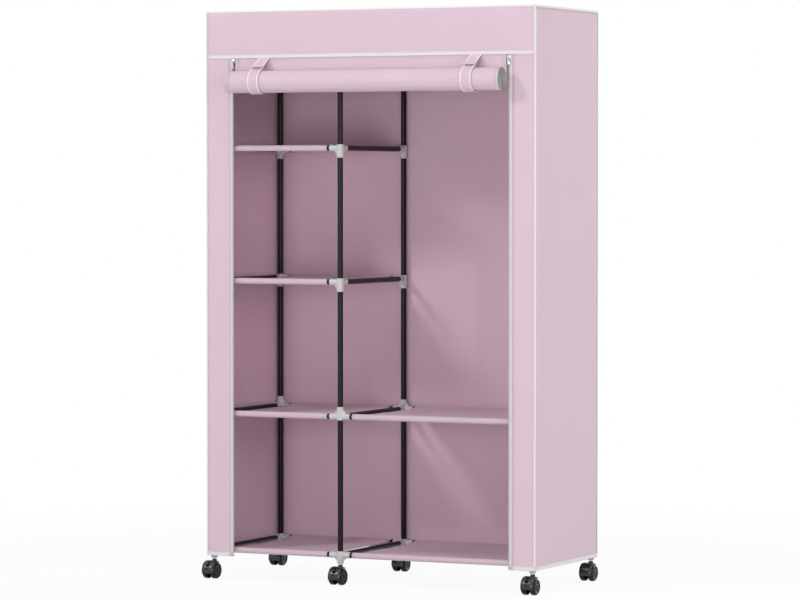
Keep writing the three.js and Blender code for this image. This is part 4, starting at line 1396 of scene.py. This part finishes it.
SLOT_ANGLE, SLOT_SHARE = math.radians(16.5), 0.6
MARK_ANGLE, MARK_SHIFT = math.radians(13), 0.0016
MARK_RADIUS, MARK_DEPTH, MARK_OUT = 0.0024, 0.0046, 0.002
HARD_ANGLE = 28


def side_view(place):
    """The matrix that stands an outline of (back, up) points in the plane of Y and Z."""
    return Matrix.Translation(place) @ Matrix((Y, Z, X)).transposed().to_4x4()


def bearing(radius, angle):
    """A point at that angle above the front of the axle."""
    return (-radius * math.cos(angle), radius * math.sin(angle))


def wheel_shape(radius):
    """A wheel drawn about Z: bore, hollow inner side, tread, ringed face and hub."""
    width = WHEEL_WIDTH
    return lathe(rounded([
        (0, 0.010), (0.0033, 0.010), (0.0033, 0), (0.0080, 0), (0.0085, 0.0095),
        (0.0215, 0.0095), (0.0222, 0), (radius, 0), (radius, width - 0.0036),
        (radius - 0.0034, width), (0.0206, width), (0.0200, width - 0.0007),
        (0.0190, width - 0.0007), (0.0184, width), (0.0166, width), (0.0156, width - 0.0010),
        (0.0080, width - 0.0010), (0.0070, width - 0.0001), (0.0031, width - 0.0001),
        (0.0025, width - 0.0009), (0, width - 0.0009),
    ], CURVE, 3), 64)


def hood_mesh(place, name, pivot):
    """The hood about its axle: a curved cap with rounded shoulders, a web and a boss, and
    where it has a brake pivot, a slot for the pedal and a round mark."""
    shoulder, flat = HOOD_OUTER - SHOULDER_DROP, HOOD_HALF - SHOULDER_WIDTH
    ring = rounded([
        (HOOD_INNER, 0), (HOOD_INNER, HOOD_HALF), (shoulder, HOOD_HALF), (HOOD_OUTER, flat),
        (HOOD_OUTER, -flat), (shoulder, -HOOD_HALF), (HOOD_INNER, -HOOD_HALF), (HOOD_INNER, 0),
    ], CURVE, 3)[:-1]
    cap = lathe(ring, 40, HOOD_BACK - HOOD_FRONT, closed=True)
    turn = Matrix((-Y, Z, -X)).transposed().to_4x4() @ Matrix.Rotation(HOOD_FRONT, 4, "Z")
    body = bmesh.new()
    merge(body, cap, Matrix.Translation(place) @ turn)
    skin = HOOD_INNER + WEB_SINK
    arc = [bearing(skin, angle)
           for angle in spaced(HOOD_FRONT, HOOD_BACK, pitch=math.radians(6))]
    web = prism(arc + [
        (TRAIL + BOSS_RADIUS / 2, skin - BOSS_DEPTH / 2), (TRAIL, skin - BOSS_DEPTH),
        (WEB_FOOT_HALF, -WEB_FOOT_DROP), (-WEB_FOOT_HALF, -WEB_FOOT_DROP)], WEB_WIDTH, WEB_EDGE)
    merge(body, web, side_view(place))
    boss = lathe(rounded([
        (0, HOOD_OUTER - BOSS_DEPTH), (BOSS_RADIUS, HOOD_OUTER - BOSS_DEPTH),
        (BOSS_RADIUS, HOOD_OUTER - COLLAR_FLARE), (COLLAR_RADIUS, HOOD_OUTER),
        (COLLAR_RADIUS, HOOD_OUTER + COLLAR_HEIGHT), (0, HOOD_OUTER + COLLAR_HEIGHT),
    ], BOSS_CURVE, 3), 40)
    boss_place = Matrix.Translation(place + Y * TRAIL)
    tool = bmesh.new()
    if not pivot:
        merge(tool, boss, boss_place)
        return joined_mesh(body, tool, name, "UNION")
    merge(body, boss, boss_place)
    half = PEDAL_HALF + SLOT_GAP
    reach, arm = PEDAL_LENGTH + SLOT_REACH, PEDAL_THICKNESS / 2 + SLOT_GAP
    top, drop = arm + SLOT_RISE, reach * math.tan(SLOT_ANGLE)
    merge(tool, prism([(-SLOT_BACK, top), (-reach, top), (-reach, -arm - drop),
                       (-reach * SLOT_SHARE, -SLOT_DEPTH), (0, -arm), (0, arm)],
                      2 * half), side_view(pivot))
    merge(tool, rod(PEDAL_HUB + SLOT_GAP, pivot - X * half, pivot + X * half, 24))
    mark = bearing(HOOD_OUTER, MARK_ANGLE)
    spot = place + Y * mark[0] + Z * mark[1] - X * MARK_SHIFT
    outward = Vector((0, *mark)).normalized()
    merge(tool, rod(MARK_RADIUS, spot - outward * MARK_DEPTH, spot + outward * MARK_OUT, 24))
    return joined_mesh(body, tool, name)


def pedal_mesh(pivot, name):
    """A brake pedal about its pin, with grip ribs at its tip."""
    arm = PEDAL_THICKNESS / 2
    heel, tip_side = PEDAL_TIP - PEDAL_LENGTH, arm * PEDAL_TIP_SHARE
    body = bmesh.new()
    merge(body, prism([
        (PEDAL_EDGE, arm), (heel, arm), (-PEDAL_LENGTH, tip_side), (-PEDAL_LENGTH, -tip_side),
        (heel, -arm), (PEDAL_EDGE, -arm),
    ], 2 * PEDAL_HALF, PEDAL_EDGE), side_view(pivot))
    across = X * PEDAL_HALF
    merge(body, rod(PEDAL_HUB, pivot - across, pivot + across, 32, PEDAL_EDGE))
    for i in range(3):
        rib = pivot + Vector((0, RIB_START - PEDAL_LENGTH + RIB_PITCH * i, arm - RIB_SINK))
        merge(body, rod(RIB_RADIUS, rib - across * RIB_HALF_SHARE, rib + across * RIB_HALF_SHARE,
                        8))
    return joined_mesh(body, rod(PIN_BORE, pivot - X * BORE_HALF, pivot + X * BORE_HALF, 24),
                       name)


def build_casters():
    """Hood, stem, axle, two wheels and, in front, a brake pedal for each caster."""
    for name in POST_NAMES:
        body = f"caster_{name}"
        axle = (Vector(JOINTS[f"wheel_turn_{name}_east"]["pos_m"])
                + Vector(JOINTS[f"wheel_turn_{name}_west"]["pos_m"])) / 2
        axle.x = POSTS[name].x
        brake = JOINTS.get(f"brake_press_{name}")
        pivot = Vector(brake["pos_m"]) if brake else None
        piece(f"caster_cap_{name}", hood_mesh(axle, f"caster_cap_{name}", pivot), "hood",
              body, [f"caster_hood_{name}"], HARD_ANGLE)
        collar = axle + Y * TRAIL + Z * (HOOD_OUTER + COLLAR_HEIGHT)
        stem = rod(STEM_RADIUS, collar - Z * STEM_SINK, collar + Z * STEM_LENGTH, 32, STEM_EDGE)
        piece(f"caster_stem_{name}", stem, "plated", body)
        bar = rod(AXLE_RADIUS, axle - X * AXLE_HALF, axle + X * AXLE_HALF, 24, 0.0004)
        piece(f"caster_axle_{name}", bar, "plated", body)
        for side, way in (("east", X), ("west", -X)):
            bm = bmesh.new()
            merge(bm, wheel_shape(axle.z), aimed(way, axle + way * AXLE_TO_CENTRE))
            piece(f"caster_wheel_{name}_{side}", bm, "wheel",
                  f"wheel_{name}_{side}", [f"wheel_{name}_{side}"], HARD_ANGLE)
        if brake:
            pin = rod(PIN_RADIUS, pivot - X * PIN_HALF, pivot + X * PIN_HALF, 20)
            piece(f"brake_pin_{name}", pin, "plated", body)
            piece(f"brake_tab_{name}", pedal_mesh(pivot, f"brake_tab_{name}"), "hood",
                  f"brake_{name}", [f"brake_pedal_{name}"], HARD_ANGLE)


# Stage

FLOOR_HALF = 30
NEAR_FLOOR, FAR_FLOOR, FLOOR_LIFT = 1.2, 3.0, 0.93
WHITE = (1, 1, 1, 1)
LAMPS_AIM = Vector((0, 0, 0.9))
SENSOR_WIDTH = 36

# Place of each lamp, and its width and height; its strength is a setting of the same name
LAMPS = {
    "key": ((-3.3, -4.9, 4.7), (1.2, 1.2)),
    "fill": ((5.0, -2.6, 2.2), (1.8, 2.4)),
    "top": ((0.4, -1.6, 5.2), (3.0, 2.0)),
    "front": ((1.0, -6.0, 0.9), (2.6, 1.6)),
    "back": ((3.0, 7.0, 2.4), (2.4, 2.0)),
}


def build_stage():
    """Floor, light from all round, softboxes and the camera."""
    setup = settings("stage")
    build_floor(setup)
    light_world(setup)
    for name, (place, size) in LAMPS.items():
        light = bpy.data.lights.new(name, "AREA")
        light.shape = "RECTANGLE"
        light.size, light.size_y = size
        reach = Vector(place) - LAMPS_AIM
        light.energy = getattr(setup, name) * math.pi * math.pi * reach.length_squared
        lamp = bpy.data.objects.new(name, light)
        lamp.matrix_world = aimed(reach, place)
        bpy.context.scene.collection.objects.link(lamp)
    data = bpy.data.cameras.new("camera")
    data.sensor_width = SENSOR_WIDTH
    data.lens = setup.camera_lens
    camera = bpy.data.objects.new("camera", data)
    camera.location = setup.camera_place
    camera.rotation_euler = (math.pi / 2 - setup.camera_tilt, 0, setup.camera_turn)
    bpy.context.scene.collection.objects.link(camera)
    bpy.context.scene.camera = camera
    bpy.context.scene.view_settings.view_transform = "Standard"


def build_floor(setup):
    """A pale floor that keeps the shadow near the wardrobe and fades to white away from it."""
    bm = bmesh.new()
    bmesh.ops.create_grid(bm, x_segments=2, y_segments=2, size=FLOOR_HALF)
    mesh = bpy.data.meshes.new("floor")
    bm.to_mesh(mesh)
    bm.free()
    floor = bpy.data.objects.new("floor", mesh)
    bpy.context.scene.collection.objects.link(floor)
    shade = material("pale_floor")
    place = shade.place()
    grain = shade.noise(place, scale=60)
    plain = shade.node("ShaderNodeBsdfDiffuse", None, {
        "Color": shade.tones(grain, setup.floor, darkest=0.99, lightest=1)})
    white = shade.node("ShaderNodeEmission", None, {"Color": WHITE, "Strength": 1.0})
    away = shade.node("ShaderNodeVectorMath", {"operation": "LENGTH"}, {0: place}, out="Value")
    far = shade.node("ShaderNodeMapRange", {"interpolation_type": "SMOOTHSTEP"}, {
        "Value": away, "From Min": NEAR_FLOOR, "From Max": FAR_FLOOR,
        "To Min": FLOOR_LIFT, "To Max": 1.0})
    mesh.materials.append(shade.surface(shade.node(
        "ShaderNodeMixShader", None, {0: seen_rays(shade) * far, 1: plain, 2: white})))


def light_world(setup):
    """Light from all round, and plain white where the background is seen."""
    world = Shade(bpy.data.worlds.new("soft_light"))
    bpy.context.scene.world = world.owner
    glow, white = (world.node("ShaderNodeBackground", None, {"Color": WHITE, "Strength": power})
                   for power in (setup.ambient, 1.0))
    world.surface(world.node("ShaderNodeMixShader", None, {
        0: seen_rays(world), 1: glow, 2: white}))


def seen_rays(shade):
    """1 for the rays that see the background: from the camera, mirrored or let through."""
    seen = [shade.node("ShaderNodeLightPath", out=f"Is {kind} Ray")
            for kind in ("Camera", "Glossy", "Transmission")]
    return seen[0].math("MAXIMUM", seen[0], seen[1].math("MAXIMUM", seen[1], seen[2]))


# Operators, panel and registration

class WARDROBE_OT_materials(bpy.types.Operator):
    """Make the materials"""

    bl_idname = "wardrobe.materials"
    bl_label = "Materials"
    bl_options = {"REGISTER", "UNDO"}

    def execute(self, context):
        make_materials()
        return {"FINISHED"}


class WARDROBE_OT_stage(bpy.types.Operator):
    """Make the floor, the light and the camera"""

    bl_idname = "wardrobe.stage"
    bl_label = "Stage"
    bl_options = {"REGISTER", "UNDO"}

    def execute(self, context):
        build_stage()
        return {"FINISHED"}


class WARDROBE_OT_tubes(bpy.types.Operator):
    """Build the posts, the side tubes, the top tubes and the hanging rod"""

    bl_idname = "wardrobe.tubes"
    bl_label = "Tubes"
    bl_options = {"REGISTER", "UNDO"}

    def execute(self, context):
        build_tubes()
        return {"FINISHED"}


class WARDROBE_OT_connectors(bpy.types.Operator):
    """Build the white connectors"""

    bl_idname = "wardrobe.connectors"
    bl_label = "Connectors"
    bl_options = {"REGISTER", "UNDO"}

    def execute(self, context):
        build_connectors()
        return {"FINISHED"}


class WARDROBE_OT_shelves(bpy.types.Operator):
    """Build the cloth shelves with their tubes"""

    bl_idname = "wardrobe.shelves"
    bl_label = "Shelves"
    bl_options = {"REGISTER", "UNDO"}

    def execute(self, context):
        build_shelves()
        return {"FINISHED"}


class WARDROBE_OT_top(bpy.types.Operator):
    """Build the top panel, its piping and the header"""

    bl_idname = "wardrobe.top"
    bl_label = "Top panel and header"
    bl_options = {"REGISTER", "UNDO"}

    def execute(self, context):
        build_top()
        return {"FINISHED"}


class WARDROBE_OT_cover(bpy.types.Operator):
    """Build the sides, the back, the front strips, the hem and the zip chains"""

    bl_idname = "wardrobe.cover"
    bl_label = "Cover"
    bl_options = {"REGISTER", "UNDO"}

    def execute(self, context):
        build_cover()
        return {"FINISHED"}


class WARDROBE_OT_door(bpy.types.Operator):
    """Build the rolled door"""

    bl_idname = "wardrobe.door"
    bl_label = "Rolled door"
    bl_options = {"REGISTER", "UNDO"}

    def execute(self, context):
        build_door()
        return {"FINISHED"}


class WARDROBE_OT_straps(bpy.types.Operator):
    """Build the straps that hold the rolled door"""

    bl_idname = "wardrobe.straps"
    bl_label = "Straps"
    bl_options = {"REGISTER", "UNDO"}

    def execute(self, context):
        build_straps()
        return {"FINISHED"}


class WARDROBE_OT_zips(bpy.types.Operator):
    """Build the zip sliders and their pull tabs"""

    bl_idname = "wardrobe.zips"
    bl_label = "Zip sliders and pulls"
    bl_options = {"REGISTER", "UNDO"}

    def execute(self, context):
        build_zips()
        return {"FINISHED"}


class WARDROBE_OT_casters(bpy.types.Operator):
    """Build the casters with their wheels and brakes"""

    bl_idname = "wardrobe.casters"
    bl_label = "Casters"
    bl_options = {"REGISTER", "UNDO"}

    def execute(self, context):
        build_casters()
        return {"FINISHED"}


STEPS = (
    WARDROBE_OT_materials,
    WARDROBE_OT_stage,
    WARDROBE_OT_tubes,
    WARDROBE_OT_connectors,
    WARDROBE_OT_shelves,
    WARDROBE_OT_top,
    WARDROBE_OT_cover,
    WARDROBE_OT_door,
    WARDROBE_OT_straps,
    WARDROBE_OT_zips,
    WARDROBE_OT_casters,
)
GROUPS = {"frame": WardrobeFrameSettings, "cloth": WardrobeClothSettings,
          "caster": WardrobeCasterSettings, "stage": WardrobeStageSettings}


class WARDROBE_PT_build(bpy.types.Panel):
    """Lists the steps that build the wardrobe and their settings"""

    bl_idname = "WARDROBE_PT_build"
    bl_label = "Fabric wardrobe"
    bl_space_type = "VIEW_3D"
    bl_region_type = "UI"
    bl_category = "Wardrobe"

    def draw(self, context):
        for step in STEPS:
            self.layout.operator(step.bl_idname)
        for tag, group in GROUPS.items():
            column = self.layout.column()
            for name in group.__annotations__:
                column.prop(settings(tag), name)


def register():
    for cls in (*GROUPS.values(), *STEPS, WARDROBE_PT_build):
        bpy.utils.register_class(cls)
    for tag, group in GROUPS.items():
        pointer = bpy.props.PointerProperty(type=group)
        setattr(bpy.types.Scene, f"wardrobe_{tag}", pointer)


def unregister():
    for tag in GROUPS:
        delattr(bpy.types.Scene, f"wardrobe_{tag}")
    for cls in (WARDROBE_PT_build, *reversed(STEPS), *reversed(GROUPS.values())):
        bpy.utils.unregister_class(cls)


def main():
    register()
    bpy.ops.wardrobe.materials()
    bpy.ops.wardrobe.stage()
    bpy.ops.wardrobe.tubes()
    bpy.ops.wardrobe.connectors()
    bpy.ops.wardrobe.shelves()
    bpy.ops.wardrobe.top()
    bpy.ops.wardrobe.cover()
    bpy.ops.wardrobe.door()
    bpy.ops.wardrobe.straps()
    bpy.ops.wardrobe.zips()
    bpy.ops.wardrobe.casters()


if __name__ == "__main__":
    main()
